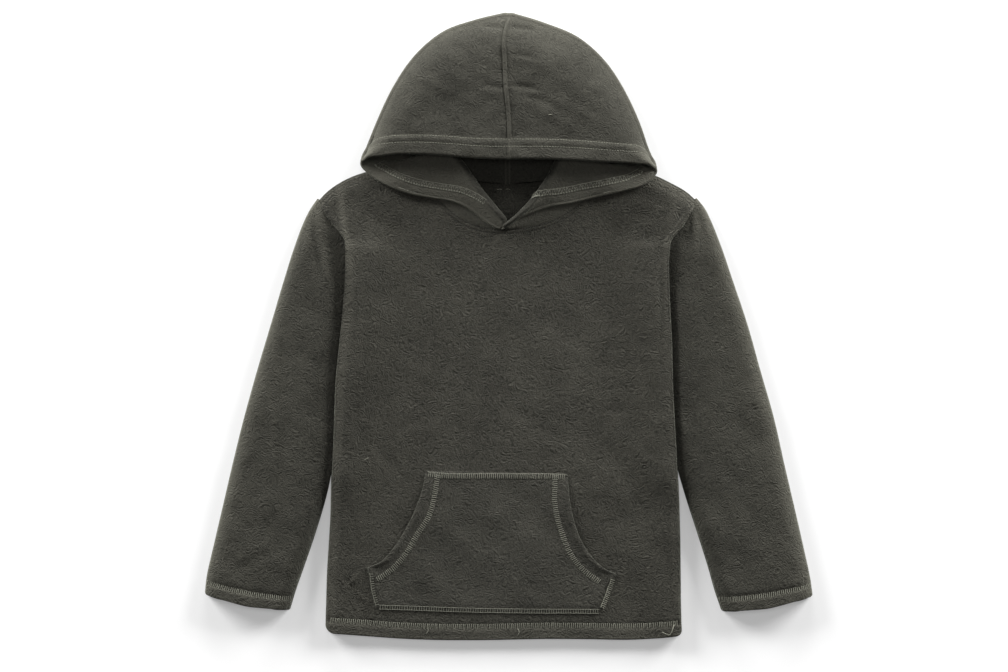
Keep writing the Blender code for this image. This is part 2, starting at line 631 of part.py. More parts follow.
def cloth(name, grid, colour, tube=False):
    """Piece of cloth: both sides of the wall, joined round its edges."""
    if tube:
        grid = np.concatenate((grid, grid[:, :1]), axis=1)
    rows, columns = grid.shape[:2]
    upper, lower = shell(grid, tube)
    index = np.arange(rows * columns).reshape(rows, columns)
    if tube:
        upper, lower = upper[:, :-1], lower[:, :-1]
        index = np.arange(rows * (columns - 1)).reshape(rows, columns - 1)
        index = np.concatenate((index, index[:, :1]), axis=1)
    under = index + upper.shape[0] * upper.shape[1]

    def quads(a, b, c, d):
        return np.stack((a, b, c, d), axis=-1).reshape(-1, 4)

    faces = [quads(index[:-1, :-1], index[:-1, 1:], index[1:, 1:], index[1:, :-1]),
             quads(under[:-1, :-1], under[1:, :-1], under[1:, 1:], under[:-1, 1:]),
             quads(index[0, 1:], index[0, :-1], under[0, :-1], under[0, 1:]),
             quads(index[-1, :-1], index[-1, 1:], under[-1, 1:], under[-1, :-1])]
    if not tube:
        faces.append(quads(index[:-1, 0], index[1:, 0], under[1:, 0], under[:-1, 0]))
        faces.append(quads(index[1:, -1], index[:-1, -1], under[:-1, -1], under[1:, -1]))
    points = np.concatenate((upper.reshape(-1, 3), lower.reshape(-1, 3))) * MM
    points[:, 2] = np.maximum(points[:, 2], 0.0)
    mesh = bpy.data.meshes.new(name)
    mesh.from_pydata(points.tolist(), [], np.concatenate(faces).tolist())
    mesh.materials.append(material(name + "_fleece", colour))
    mesh.shade_smooth()
    solid = bmesh.new()
    solid.from_mesh(mesh)
    bmesh.ops.recalc_face_normals(solid, faces=solid.faces)
    solid.to_mesh(mesh)
    solid.free()
    piece = bpy.data.objects.new(name, mesh)
    bpy.context.collection.objects.link(piece)
    return piece


def build():
    """Make the seven pieces in an empty scene."""
    for old in list(bpy.data.objects):
        bpy.data.objects.remove(old, do_unlink=True)
    cloth("back", back_grid(), FLEECE)
    front = front_grid()
    cloth("front", front, FLEECE)
    edge = FOLD_STEPS + 2
    cloth("sleeve_left", sleeve_grid(-1.0, SLEEVE_LEFT), FLEECE, tube=True)
    cloth("sleeve_right", sleeve_grid(1.0, SLEEVE_RIGHT), FLEECE, tube=True)
    cloth("hood_left", hood_grid(-1.0, LAPEL_LEFT, CROWN_LEFT), FLEECE)
    cloth("hood_right", hood_grid(1.0, LAPEL_RIGHT, CROWN_RIGHT), FLEECE)
    cloth("pocket", pocket_grid(front[:, edge:-edge]), FLEECE_POCKET)


build()
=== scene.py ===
"""A child's microfleece hooded jumper, laid flat on a pale table.

Each piece of cloth is a surface worked out from the garment's own table of sizes,
with its folds and seams laid in one by one, and the sewing is real thread.  Lengths in
the tables and in the surface functions are millimetres; meshes are metres.
"""

import math

import bpy
import numpy as np
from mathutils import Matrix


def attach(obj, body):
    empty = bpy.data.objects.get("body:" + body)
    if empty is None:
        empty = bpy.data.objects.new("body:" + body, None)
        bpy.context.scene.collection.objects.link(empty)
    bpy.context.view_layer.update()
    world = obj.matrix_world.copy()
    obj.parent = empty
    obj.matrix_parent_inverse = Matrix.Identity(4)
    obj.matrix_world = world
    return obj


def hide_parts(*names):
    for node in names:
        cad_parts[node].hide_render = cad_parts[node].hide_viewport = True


bl_info = {
    "name": "Fleece hooded jumper",
    "version": (1, 0, 0),
    "blender": (4, 5, 0),
    "location": "3D View > Sidebar > Jumper",
    "description": "Builds a child's fleece hooded jumper laid flat on a table",
    "category": "Object",
}

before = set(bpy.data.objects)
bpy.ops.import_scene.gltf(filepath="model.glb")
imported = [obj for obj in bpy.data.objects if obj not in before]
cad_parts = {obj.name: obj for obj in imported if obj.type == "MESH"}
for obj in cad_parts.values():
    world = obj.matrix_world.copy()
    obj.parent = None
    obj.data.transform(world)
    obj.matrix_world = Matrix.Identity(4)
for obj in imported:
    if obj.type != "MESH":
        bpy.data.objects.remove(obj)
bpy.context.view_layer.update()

MM = 0.001
WALL = 2.0                      # thickness of the fleece
AIR = 0.6                       # loose space between two layers
LAYER = WALL + AIR
FLOOR = WALL / 2                # mid height of cloth that lies on the table
REST = FLOOR + LAYER            # mid height of the front where it lies on the back
LOFT = 1.2                      # how far the nap and folds hold the front up from that


# ------------------------------------------------------------------ sums
def table(names, *rows):
    """Short table of sizes: one array for each named column."""
    return dict(zip(names.split(), np.array(rows, dtype=float).T))


def smoothstep(low, high, value):
    """Soft step from 0 at low to 1 at high."""
    share = np.clip((value - low) / (high - low), 0.0, 1.0)
    return share * share * (3.0 - 2.0 * share)


def lerp(a, b, share):
    """Straight blend from a to b."""
    return a + (b - a) * share


def unit(vector):
    """Vector of length one along the last axis."""
    return vector / np.maximum(np.linalg.norm(vector, axis=-1, keepdims=True), 1e-9)


def rounded(value):
    """Quarter of a circle: it rises steeply from 0 at 0 and levels off at 1."""
    return np.sqrt(1.0 - (1.0 - np.clip(value, 0.0, 1.0)) ** 2)


def hill(value, width):
    """Bell curve of height one."""
    return np.exp(-(value / width) ** 2)


def plateau(value, rise, fall):
    """Soft step up over the range rise and down again over the range fall."""
    return smoothstep(*rise, value) * (1.0 - smoothstep(*fall, value))


def side_of(hand):
    """Name of the side that a hand of -1 or 1 stands for."""
    return "left" if hand < 0 else "right"


def sampled(at, places, values):
    """Rows of values at rising places, read off in straight lines at other places."""
    return np.stack([np.interp(at, places, values[:, k])
                     for k in range(values.shape[1])], axis=-1)


def smooth_through(places, values, at):
    """Smooth curve through values at rising places.

    Between two places it is the cubic whose slope at each end is the mean of the
    slopes to either side, weighted by the distance to the other place.
    """
    places = np.asarray(places, float)
    values = np.asarray(values, float)
    at = np.clip(np.asarray(at, float), places[0], places[-1])
    gap = np.diff(places)
    shape = (-1,) + (1,) * (values.ndim - 1)
    wide = gap.reshape(shape)
    rise = np.diff(values, axis=0) / wide
    slope = np.empty_like(values)
    slope[0] = rise[0]
    slope[-1] = rise[-1]
    slope[1:-1] = (rise[:-1] * wide[1:] + rise[1:] * wide[:-1]) / (wide[1:] + wide[:-1])
    k = np.clip(np.searchsorted(places, at, side="right") - 1, 0, len(gap) - 1)
    h = gap[k].reshape(at.shape + (1,) * (values.ndim - 1))
    t = ((at - places[k]) / gap[k]).reshape(h.shape)
    return (values[k] * (1 + 2 * t) * (1 - t) ** 2 + slope[k] * h * t * (1 - t) ** 2
            + values[k + 1] * t * t * (3 - 2 * t) + slope[k + 1] * h * t * t * (t - 1))


def distance_along(points):
    """Distance along a polyline to each of its points."""
    steps = np.linalg.norm(np.diff(points, axis=0), axis=-1)
    if steps.ndim > 1:
        steps = steps.mean(axis=1)
    return np.concatenate(([0.0], np.cumsum(steps)))


def along(points, share):
    """Points at the given shares of a polyline's length."""
    length = distance_along(points)
    return sampled(np.asarray(share) * length[-1], length, points)


def spread(rows, count):
    """Many rows from a few: a smooth surface through them, in even steps."""
    places = distance_along(rows)
    return smooth_through(places, rows, np.linspace(0.0, places[-1], count))


def ripple(x, y, length, seed, count=14):
    """Even, patternless unevenness: a sum of sine waves in seeded directions."""
    draw = np.random.default_rng(seed)
    angle = draw.uniform(0.0, 2 * math.pi, count)
    phase = draw.uniform(0.0, 2 * math.pi, count)
    wave = 2 * math.pi / (length * draw.uniform(0.7, 1.5, count))
    total = np.zeros(np.broadcast(x, y).shape)
    for a, p, w in zip(angle, phase, wave):
        total += np.sin(w * (x * math.cos(a) + y * math.sin(a)) + p)
    return total / math.sqrt(count / 2.0)


# ------------------------------------------------------------------ sizes of the body
# A row for each level.  "stack" is the mid height of the front at its edge, which
# bends down through "turn" degrees with "radius" and ends in a "flap"; the back's
# edge turns up through "back_turn" degrees.
SIDE = table(
    "height left right stack radius turn flap back_turn",
    (-327.0, -196.2, 185.6, 6.6, 2.0, 90.0, 0.6, 90.0),
    (-300.0, -195.3, 184.8, 7.0, 2.2, 90.0, 0.6, 90.0),
    (-262.0, -194.2, 184.4, 7.2, 2.3, 90.0, 0.6, 90.0),
    (-228.0, -192.1, 184.0, 7.4, 2.4, 90.0, 0.6, 90.0),
    (-198.0, -190.4, 183.2, 7.8, 2.6, 90.0, 0.6, 90.0),
    (-182.0, -190.0, 182.6, 8.6, 2.0, 90.0, 0.6, 60.0),
    (-160.0, -189.0, 180.9, 9.8, 1.5, 90.0, 0.6, 0.0),
    (-127.0, -187.3, 179.4, 10.4, 1.5, 100.0, 0.6, 0.0),
    (-94.0, -186.1, 177.5, 11.0, 1.5, 110.0, 0.6, 0.0),
    (-57.0, -184.4, 175.8, 11.7, 1.5, 180.0, 4.0, 0.0),
    (-19.0, -180.8, 174.9, 12.4, 1.8, 180.0, 9.0, 0.0),
    (20.0, -177.0, 173.0, 12.8, 2.0, 180.0, 13.0, 0.0),
    (52.0, -174.5, 171.7, 12.6, 1.9, 180.0, 11.0, 0.0),
    (75.0, -174.0, 171.8, 12.0, 1.6, 180.0, 5.0, 0.0),
    (84.5, -174.2, 172.6, 11.5, 1.5, 130.0, 0.8, 0.0),
    (93.0, -174.9, 174.2, 9.6, 1.4, 60.0, 0.6, 0.0),
    (106.0, -184.0, 184.3, 7.2, 1.2, 15.0, 0.6, 0.0),
    (119.0, -194.2, 192.3, 5.4, 1.2, 0.0, 0.6, 0.0),
    (131.5, -202.6, 199.8, 4.4, 1.2, 0.0, 0.6, 0.0),
)
SHOULDER = table(
    "left_x left_y right_x right_y",
    (-204.4, 134.4, 201.4, 135.2),
    (-194.0, 145.2, 190.5, 145.0),
    (-178.0, 156.2, 174.0, 154.4),
    (-155.7, 165.4, 155.7, 163.0),
    (-128.0, 170.4, 127.0, 169.0),
    (-99.0, 172.0, 97.0, 172.0),
)
SHOULDER_TOP = 4.2              # mid height of the front along the shoulder fold
SHOULDER_LAP = 2.0              # the back laps forwards over the front by this much
SHOULDER_WAY = (0.43, 0.90)     # way outwards in plan across the shoulder fold
SHOULDER_IN = (0.45, 0.95)      # and the reach inwards of a panel's edge, for each mm
SHOULDER_RISE = 3.2             # the front rounds up from the shoulder fold by this much
SHOULDER_MORE = 1.2             # and by this much more on the right
SHOULDER_ROUND = 18.0           # over this distance
SHOULDER_FROM = (98.0, 124.0)   # distance from the middle at which the shoulders start
YOKE = (105.0, 150.0)           # heights between which the front rises to the shoulders
SLOPE_START = 3.0               # the front slopes down from its raised sides from here
SLOPE_LENGTH = 46.0             # over this width
EDGE_PUFF = 3.0                 # how far the rolled side of the body stands above its edge
EDGE_PUFF_WIDTH = 9.0           # over this width
EDGE_PUFF_FADE = (-150.0, 104.0)    # heights between which that fades
ARMHOLE_FILL = 2.4              # the front sinks this much less beside the armholes
ARMHOLE_FILL_Y = 103.0          # around this height
ARMHOLE_LEAN = 0.74             # cosine of the armhole's slope, for distances square to it
ARMHOLE_OPEN = ((84.0, 94.0), (122.0, 130.0))   # heights at which its seam comes and goes
SIDE_REACH = 6                  # power with which the sides' own shape fades inwards
NECK_X = -1.0                   # middle of the neckline
NECK_Y = 172.0                  # height of the neck points
NECK_HALF = 98.0                # half the distance between them
NECK_POINTS = 401
BACK_DROP = 19.0                # depth of the back's neckline
FRONT_NECK = table(
    "x y",
    (-99.0, 172.0), (-97.4, 161.0), (-92.0, 151.0), (-83.0, 142.0), (-70.0, 131.5),
    (-60.0, 122.5), (-50.0, 115.4), (-40.0, 110.6), (-30.0, 107.4), (-19.0, 105.4),
    (-7.0, 104.7), (6.0, 105.0), (18.0, 106.2), (30.0, 108.4), (42.0, 112.0),
    (55.0, 117.8), (68.0, 126.0), (79.0, 135.0), (88.0, 145.0), (94.0, 156.0),
    (97.0, 172.0),
)
HEM_LINE = table(               # how far the lower edge lies above the sides' lower ends
    "share rise",
    (0.0, 0.4), (0.06, -1.4), (0.10, -2.6), (0.25, -6.3), (0.40, -7.2), (0.50, -6.8), (0.60, -5.9),
    (0.75, -6.2), (0.88, -6.5), (0.93, -5.4), (0.96, -4.5), (1.0, -2.6),
)
HEM_CORNERS = (9.0, 5.0)        # rounding of the body's lower corners, left and right
HEM_STITCH = 13.4               # from the edge to the middle of the hem's stitching
HEM_BAND = (9.0, 12.0)          # the doubled hem fades between these distances
STITCH_BAND = 5.6               # width of the three-thread stitching
FRONT_ROWS = 236
BACK_ROWS = 120
EDGE_STEPS = 10                 # steps round a body edge that is turned over
FLAP_STEPS = 4                  # and along its flap
LAP_STEPS = 9                   # steps round the shoulder's lap
LEAST_STEP = 0.12               # least length of a step
SIDE_HIGHLIGHT = (0.16, 0.05)         # painted highlight along the sides, left and right
SHOULDER_HIGHLIGHT = (0.20, 0.46)     # painted highlight on the shoulders
HEM_HIGHLIGHT = (0.04, 0.25)          # painted highlight on the doubled hem, and on its very edge
FOLD_COLUMNS = "x0 y0 x1 y1 depth width bow"
FRONT_FOLDS = table(
    FOLD_COLUMNS,
    (-181.0, 162.0, -170.0, 44.0, -1.9, 5.0, 0.0),
    (180.0, 152.0, 166.0, 44.0, -0.9, 6.0, 0.0),
    (163.5, 84.0, 162.0, -90.0, 0.6, 2.0, 0.0),
    (167.4, 80.0, 168.2, 8.0, -0.55, 1.8, 0.6),
    (158.6, 62.0, 157.4, -14.0, -0.45, 2.0, 0.0),
    (173.5, -180.0, 178.5, -316.0, -0.6, 1.8, 0.0),
    (-176.0, -268.0, -162.0, -284.0, 0.9, 3.0, 0.0),
    (-158.0, -259.0, -178.0, -281.0, -0.9, 1.6, 1.0),
    (-167.0, -284.0, -145.0, -297.0, -0.8, 1.6, 0.5),
    (-150.0, -120.0, -118.0, -160.0, 0.5, 4.0, 2.0),
    (98.0, -112.0, 150.0, -222.0, 0.6, 5.0, 4.0),
    (120.0, -90.0, 164.0, -150.0, 0.4, 4.0, -3.0),
    (-132.0, -118.0, -70.0, -92.0, 0.35, 5.0, 3.0),
    (-20.0, -60.0, 70.0, -130.0, 0.35, 7.0, -5.0),
    (-120.0, 60.0, -60.0, 10.0, 0.3, 8.0, 4.0),
    (60.0, 70.0, 130.0, 20.0, 0.35, 8.0, 5.0),
    (20.0, 20.0, 90.0, -30.0, 0.3, 6.0, 3.0),
    (-110.0, -30.0, -60.0, -60.0, 0.3, 6.0, 2.0),
    (140.0, -30.0, 160.0, -110.0, 0.5, 5.0, 3.0),
    (-168.0, -60.0, -150.0, -150.0, 0.5, 5.0, -3.0),
    (-172.0, -196.0, -160.0, -240.0, 0.5, 4.0, 2.0),
)


# ------------------------------------------------------------------ sizes of the sleeves
SLEEVE_COLUMNS = "outer_x outer_y inner_x inner_y bulge sag"
SLEEVE_LEFT = table(
    SLEEVE_COLUMNS,
    (-204.6, 137.7, -166.5, -4.0, 1.00, 0.0),
    (-212.8, 125.4, -167.2, -13.0, 0.80, 0.0),
    (-219.2, 112.6, -168.0, -23.0, 0.58, 0.0),
    (-229.2, 86.0, -169.0, -34.0, 0.32, 0.0),
    (-240.0, 52.0, -170.4, -47.0, 0.12, 0.0),
    (-253.3, 7.0, -172.6, -64.0, 0.00, 0.0),
    (-268.5, -44.0, -177.6, -92.0, 0.00, 0.0),
    (-283.5, -98.0, -185.0, -132.0, 0.00, 0.0),
    (-295.6, -147.0, -193.6, -176.0, 0.00, 0.0),
    (-306.5, -194.0, -206.4, -220.0, 0.00, 0.0),
    (-317.0, -239.0, -220.0, -260.0, 0.00, 0.5),
    (-323.4, -268.0, -229.0, -286.0, 0.00, 2.0),
    (-325.3, -285.6, -233.8, -302.5, 0.00, 3.4),
)
SLEEVE_RIGHT = table(
    SLEEVE_COLUMNS,
    (201.6, 138.3, 160.5, -4.0, 1.00, 0.0),
    (210.4, 126.8, 161.0, -13.0, 0.80, 0.0),
    (217.4, 112.6, 161.8, -23.0, 0.58, 0.0),
    (227.6, 87.0, 162.6, -34.0, 0.32, 0.0),
    (240.2, 50.0, 163.6, -47.0, 0.12, 0.0),
    (255.0, 6.0, 165.6, -64.0, 0.00, 0.0),
    (269.0, -43.5, 169.6, -92.0, 0.00, 0.0),
    (284.0, -96.0, 175.8, -132.0, 0.00, 0.0),
    (295.4, -146.5, 187.2, -174.0, 0.00, 0.0),
    (306.5, -194.0, 201.6, -219.0, 0.00, 0.0),
    (317.0, -240.0, 214.2, -259.0, 0.00, 0.5),
    (323.4, -270.0, 221.6, -285.0, 0.00, 2.0),
    (325.9, -287.5, 228.2, -304.0, 0.00, 4.0),
)
ARMHOLE_SHOWS = 93.0            # below this height the body's edge lies over the seam
ARMHOLE_GAP = 1.0               # from the body's edge to the sleeve's above that
SLEEVE_RIM = 4.6                # mid height of the sleeve's upper layer at its folded edges
SLEEVE_PUFF = 6.8               # how far it rises from there
SLEEVE_ROUND = 16.0             # over this width
SLEEVE_DOME = 1.0               # and the slow rise to its middle
VALLEY_WIDTH = 46.0             # the sleeve slopes down to the body over this width
VALLEY_TOP_LEFT = (72.0, 104.0)     # heights at which the slope starts to fade and has faded
VALLEY_TOP_RIGHT = (50.0, 94.0)
VALLEY_FOOT = (-215.0, -165.0)  # heights between which it starts, below the underarm
GAP_LEFT = 14.0                 # and it drops steeply over this width
GAP_RIGHT = 9.0
GAP_SHARE_LEFT = 0.5            # the steep part's share of the way down
GAP_SHARE_RIGHT = 0.60
LEAST_LIFT = 2.1                # least distance between the mid heights of two layers
BESIDE_BODY = (92.0, 110.0)     # heights at which the sleeve stops lying on the back
RAMP = 16.0                     # the under layer comes down from the back over this width
CUFF_CORNER = 2.2               # rounding of the cuff's corners
CUFF_LENGTH = 24.0              # length of sleeve with closer rings, at the cuff
CUFF_RINGS = 40                 # and how many they are
CUFF_BAND = (8.0, 11.0)         # its doubled hem fades between these distances
SLEEVE_RINGS = 200
SLEEVE_ACROSS = 64
SLEEVE_TURN = 10                # steps round each fold
SLEEVE_HIGHLIGHT = 0.10               # painted highlight on the outer half of the sleeves
SLEEVE_EDGE_HIGHLIGHT = 0.60          # painted highlight along their outer fold
SLEEVE_EDGE = (5.5, 8.5)        # over this width, left and right
SLEEVE_FOLDS_LEFT = table(
    FOLD_COLUMNS,
    (-206.0, 136.0, -190.0, 36.0, -1.9, 4.6, -2.0),
    (-211.0, 130.0, -216.0, 70.0, -1.0, 3.6, 0.0),
    (-196.0, 118.0, -184.0, 76.0, 0.4, 3.0, 0.0),
    (-241.0, -78.0, -250.0, -190.0, 0.9, 5.0, 3.0),
    (-245.0, -6.0, -243.0, -84.0, 0.7, 3.4, 1.0),
    (-262.0, 24.0, -250.0, -8.0, 0.6, 5.0, 0.0),
    (-214.0, 40.0, -226.0, -60.0, 0.5, 7.0, 4.0),
    (-262.0, -120.0, -292.0, -210.0, 0.5, 6.0, -3.0),
    (-232.0, -150.0, -266.0, -240.0, 0.45, 6.0, 3.0),
    (-250.0, -235.0, -300.0, -262.0, 0.4, 5.0, 2.0),
)
SLEEVE_FOLDS_RIGHT = table(
    FOLD_COLUMNS,
    (197.5, 126.0, 200.5, 66.0, -1.1, 2.8, 1.0),
    (206.0, 132.0, 217.0, 90.0, -1.0, 3.4, 0.0),
    (190.0, 108.0, 188.0, 62.0, 0.4, 3.5, 0.0),
    (243.0, -70.0, 262.0, -180.0, 0.6, 6.0, -3.0),
    (212.0, 40.0, 226.0, -50.0, 0.5, 7.0, -4.0),
    (209.0, -236.0, 216.0, -243.0, 0.6, 3.0, 0.0),
    (236.0, -150.0, 266.0, -230.0, 0.45, 6.0, 3.0),
    (262.0, -110.0, 290.0, -200.0, 0.4, 6.0, -3.0),
)


# ------------------------------------------------------------------ sizes of the hood
# A row for each rib of cloth from the opening's edge to the far seam; "neck" is the
# rib's share of the way along the neckline.
LAPEL_COLUMNS = "rim_x rim_y roll_x roll_y neck"
LAPEL_LEFT = table(
    LAPEL_COLUMNS,
    (-10.4, 105.4, -1.6, 110.4, 0.050),
    (-19.5, 110.2, -3.4, 117.6, 0.110),
    (-30.0, 118.4, -12.4, 129.0, 0.210),
    (-44.0, 128.6, -24.6, 143.8, 0.350),
    (-62.6, 135.8, -36.0, 159.6, 0.490),
    (-85.0, 139.4, -46.6, 175.0, 0.620),
    (-108.0, 144.0, -57.4, 186.4, 0.740),
    (-130.0, 152.4, -70.0, 190.4, 0.850),
    (-148.4, 164.4, -86.0, 187.4, 0.940),
    (-157.2, 175.6, -96.4, 174.6, 1.000),
)
LAPEL_RIGHT = table(
    LAPEL_COLUMNS,
    (-6.0, 105.4, -3.0, 110.0, 0.040),
    (2.4, 110.6, 4.0, 115.6, 0.110),
    (12.6, 118.0, 13.4, 124.6, 0.190),
    (24.0, 123.0, 22.5, 134.0, 0.290),
    (41.0, 129.0, 31.5, 147.4, 0.420),
    (66.0, 133.2, 41.0, 161.6, 0.550),
    (95.0, 140.2, 49.8, 178.6, 0.690),
    (121.4, 146.0, 61.6, 188.0, 0.820),
    (145.0, 153.6, 80.0, 187.0, 0.930),
    (157.6, 168.6, 94.4, 174.6, 1.000),
)
TIP_LIFT = 2.4                  # the right side of the hood crosses over the left
CROWN_COLUMNS = "lip_x lip_y out_x out_y neck"
CROWN_LEFT = table(
    CROWN_COLUMNS,
    (-150.0, 181.4, -156.8, 181.6, 0.985),
    (-137.0, 183.6, -150.6, 197.0, 0.930),
    (-120.0, 185.6, -140.6, 221.5, 0.840),
    (-101.0, 185.6, -124.4, 255.5, 0.720),
    (-79.0, 184.8, -100.6, 290.6, 0.570),
    (-54.0, 182.8, -70.6, 316.2, 0.390),
    (-27.0, 180.8, -37.0, 328.8, 0.190),
    (-0.5, 180.3, 0.0, 337.6, 0.000),
)
CROWN_RIGHT = table(
    CROWN_COLUMNS,
    (150.6, 173.4, 157.6, 173.6, 0.985),
    (137.0, 175.6, 150.6, 190.0, 0.930),
    (119.0, 176.6, 141.2, 217.0, 0.840),
    (99.0, 177.4, 126.0, 250.0, 0.720),
    (77.0, 178.8, 105.4, 282.4, 0.570),
    (52.0, 180.0, 76.0, 309.6, 0.390),
    (26.0, 180.4, 36.0, 326.8, 0.190),
    (-0.5, 180.3, 0.0, 337.6, 0.000),
)
SEAM_PATH = table(              # the centre seam's own way from the lip to the top
    "share shift",
    (0.0, 0.0), (0.13, 0.0), (0.22, -0.4), (0.37, -2.2), (0.43, -3.2), (0.53, -4.6),
    (0.68, -5.4), (0.84, -6.2), (0.93, -3.4), (1.0, 0.0),
)
LIP_CORNER = 10.6               # height of the crown's edge at its ends
LIP_TOP = 21.5                  # and in its middle
LIP_HALF = 156.0                # half the width over which it rises
CROWN_FOLD = 3.8                # radius of the crown's outer fold
CROWN_ROUND = 46.0              # width of the crown's rounded edge
CROWN_PUFF = 1.2                # and how much more it stands up in the middle
CROWN_FROM = (0.46, 0.58)       # shares of the ribs at which the lapel becomes the crown
ROLL_TOP = 13.0                 # height of the lapel where it turns down at the neck
ROLL_RADIUS = 4.0
ROLL_ENDS = 1.4                 # radius of that turn at both ends
ROLL_NEAR = 8.0                 # height of that turn at the neck point
ROLL_FAR = 7.4                  # and at the corner
RIM_RADIUS = 1.4                # radius with which the lapel's outer edge curls
CORNER_RIM = 6.4                # heights of the corner, at the rim and at the neck
CORNER_NECK = 6.6
HEM_TURN = 1.2                  # least length of cloth past a turn
LEG_A, LEG_B, LEG_C, TURN = 74, 48, 12, 10     # steps along a rib's legs and turns
HOOD_RIBS = 236
HOOD_NAP = 0.5                  # the hood's nap is flatter than the body's
HOOD_HEM_WALL = 1.7             # how much thicker the doubled hem is
HOOD_HEM = (16.5, 21.5)         # and the distances between which it ends
HOOD_ROW_LOW = 11.8             # rows of stitches, from the edge of the opening
HOOD_ROW_HIGH = 19.6
LAPEL_CHAIN = 17.0              # middle of the hem's chain on its inside
RIM_HIGHLIGHT = 0.68                  # painted highlight round the crown's outer fold
LAPEL_HIGHLIGHT = (0.42, 0.24)        # painted highlight on the lapel's doubled hem, and on the rest of it
HOOD_FOLDS_LEFT = table(
    FOLD_COLUMNS,
    (-30.0, 257.0, 0.0, 254.0, 0.9, 3.0, 0.0),
    (-34.0, 321.0, 2.0, 318.0, 1.5, 3.2, 0.0),
    (-9.0, 300.0, -8.0, 264.0, 0.5, 2.4, 0.0),
    (-118.0, 205.0, -60.0, 232.0, 0.4, 6.0, 4.0),
    (-100.0, 262.0, -50.0, 280.0, 0.4, 6.0, 3.0),
    (-70.0, 300.0, -30.0, 290.0, 0.4, 5.0, 2.0),
)
HOOD_FOLDS_RIGHT = table(
    FOLD_COLUMNS,
    (-2.0, 257.0, 38.0, 250.0, 1.0, 3.0, 2.0),
    (-4.0, 320.0, 34.0, 316.0, 1.4, 3.2, 0.0),
    (0.0, 291.0, 30.0, 286.0, 1.0, 3.4, 0.0),
    (12.0, 250.0, 60.0, 228.0, 0.5, 4.0, 2.0),
    (40.0, 282.0, 96.0, 262.0, 0.4, 6.0, -3.0),
    (30.0, 306.0, 66.0, 296.0, 0.4, 5.0, 2.0),
)


# ------------------------------------------------------------------ sizes of the pocket
POCKET = table(
    "left_x left_y right_x right_y open",
    (-141.8, -301.6, 97.6, -306.6, 0.0),
    (-145.6, -288.0, 103.0, -293.4, 0.0),
    (-148.4, -273.0, 109.0, -278.4, 0.0),
    (-149.8, -257.2, 114.4, -264.3, 0.15),
    (-134.3, -250.0, 100.6, -257.4, 0.5),
    (-120.4, -234.0, 86.6, -243.6, 0.9),
    (-106.5, -211.4, 74.6, -223.0, 1.0),
    (-96.6, -189.4, 67.2, -199.0, 0.9),
    (-90.6, -171.0, 63.6, -176.0, 0.5),
    (-88.3, -154.2, 62.6, -157.2, 0.0),
)
POCKET_BOW = 1.6                # sag of its lower edge
POCKET_LIFT = 1.4               # how far its openings stand off the front
POCKET_SINK = 0.6               # its sewn edges are pressed into the front by this much
POCKET_BED = 1.2                # and the front under it is pressed down by this much
SEWN_WALL = 0.8                 # thickness of its sewn edges
POCKET_ROWS = 110
POCKET_CORNER = 3               # row of the table at which its side turns in
POCKET_LOW_ROWS = 34            # rows of the grid below that
POCKET_COLUMNS = 180
POCKET_SEAM_LEFT = ((-75.6, -157.6), (-78.6, -177.1), (-86.1, -204.4), (-96.8, -220.4),
                    (-110.2, -242.9), (-125.7, -260.0), (-141.0, -270.6))
POCKET_SEAM_RIGHT = ((50.0, -157.6), (49.8, -191.0), (57.3, -220.4), (66.4, -242.5),
                     (80.4, -260.0), (98.0, -273.0))
POCKET_SEAM_TOP = ((-86.4, -157.4), (-76.5, -158.4), (-10.0, -159.4), (51.5, -160.0), (61.0, -160.4))
POCKET_TAB_LEFT = ((-140.0, -298.0), (-144.0, -284.0), (-146.8, -263.0))
POCKET_TAB_RIGHT = ((100.4, -301.0), (106.6, -285.0), (111.8, -269.5))
POCKET_SEAM_LOW = ((-138.5, -299.6), (-20.0, -303.4), (97.0, -304.2))

# ------------------------------------------------------------------ sizes of the sewing
NEEDLE_STITCH = 2.9             # length of a stitch of the seams' rows
LAPEL_BAND = 5.4                # width of the chain on the lapels
BAR = (                         # one bar of the ladder: across and above
    (-0.5, -0.5), (-0.49, 0.15), (-0.3, 0.3), (0.0, 0.34), (0.3, 0.3), (0.49, 0.15), (0.5, -0.5),
)
NEEDLE = (-1.5, 0.05, 1.0, 0.05, -1.5)      # heights along one stitch of a row
LOOP = (                        # one loop: along, across and above
    (0.0, -0.5, -0.2), (0.12, -0.1, 0.3), (0.3, 0.45, 0.3), (0.5, 0.5, 0.1),
    (0.7, 0.1, 0.3), (0.9, -0.35, 0.35), (1.0, -0.5, -0.2),
)
HEM_SPAN = (-190.5, 181.5)      # ends of the hem's stitching
NECK_ROWS = (1.2, 5.0)          # rows of stitches, from the edge of the neckline
SEAM_ROWS = (2.6, 6.6)          # rows of stitches, from the armholes and the shoulders' lap
LOOSE_THREADS = (               # start, middle and end in plan
    ((177.0, -318.0), (171.5, -329.0), (164.5, -326.0)),
    ((177.5, -318.2), (171.7, -329.4), (164.3, -326.4)),
    ((-87.0, -320.6), (-86.0, -325.0), (-88.0, -328.0)),
    ((10.0, -322.6), (11.5, -326.5), (9.8, -329.6)),
    ((-154.6, -142.0), (-152.2, -141.2), (-150.0, -139.6)),
    ((42.6, 225.6), (44.6, 226.0), (46.6, 225.4)),
    ((-142.0, -266.0), (-147.4, -262.6), (-146.6, -268.0)),
    ((-12.0, 147.4), (-9.5, 147.8), (-7.0, 147.5)),
    ((-3.0, 147.6), (-0.5, 147.9), (1.8, 147.5)),
)


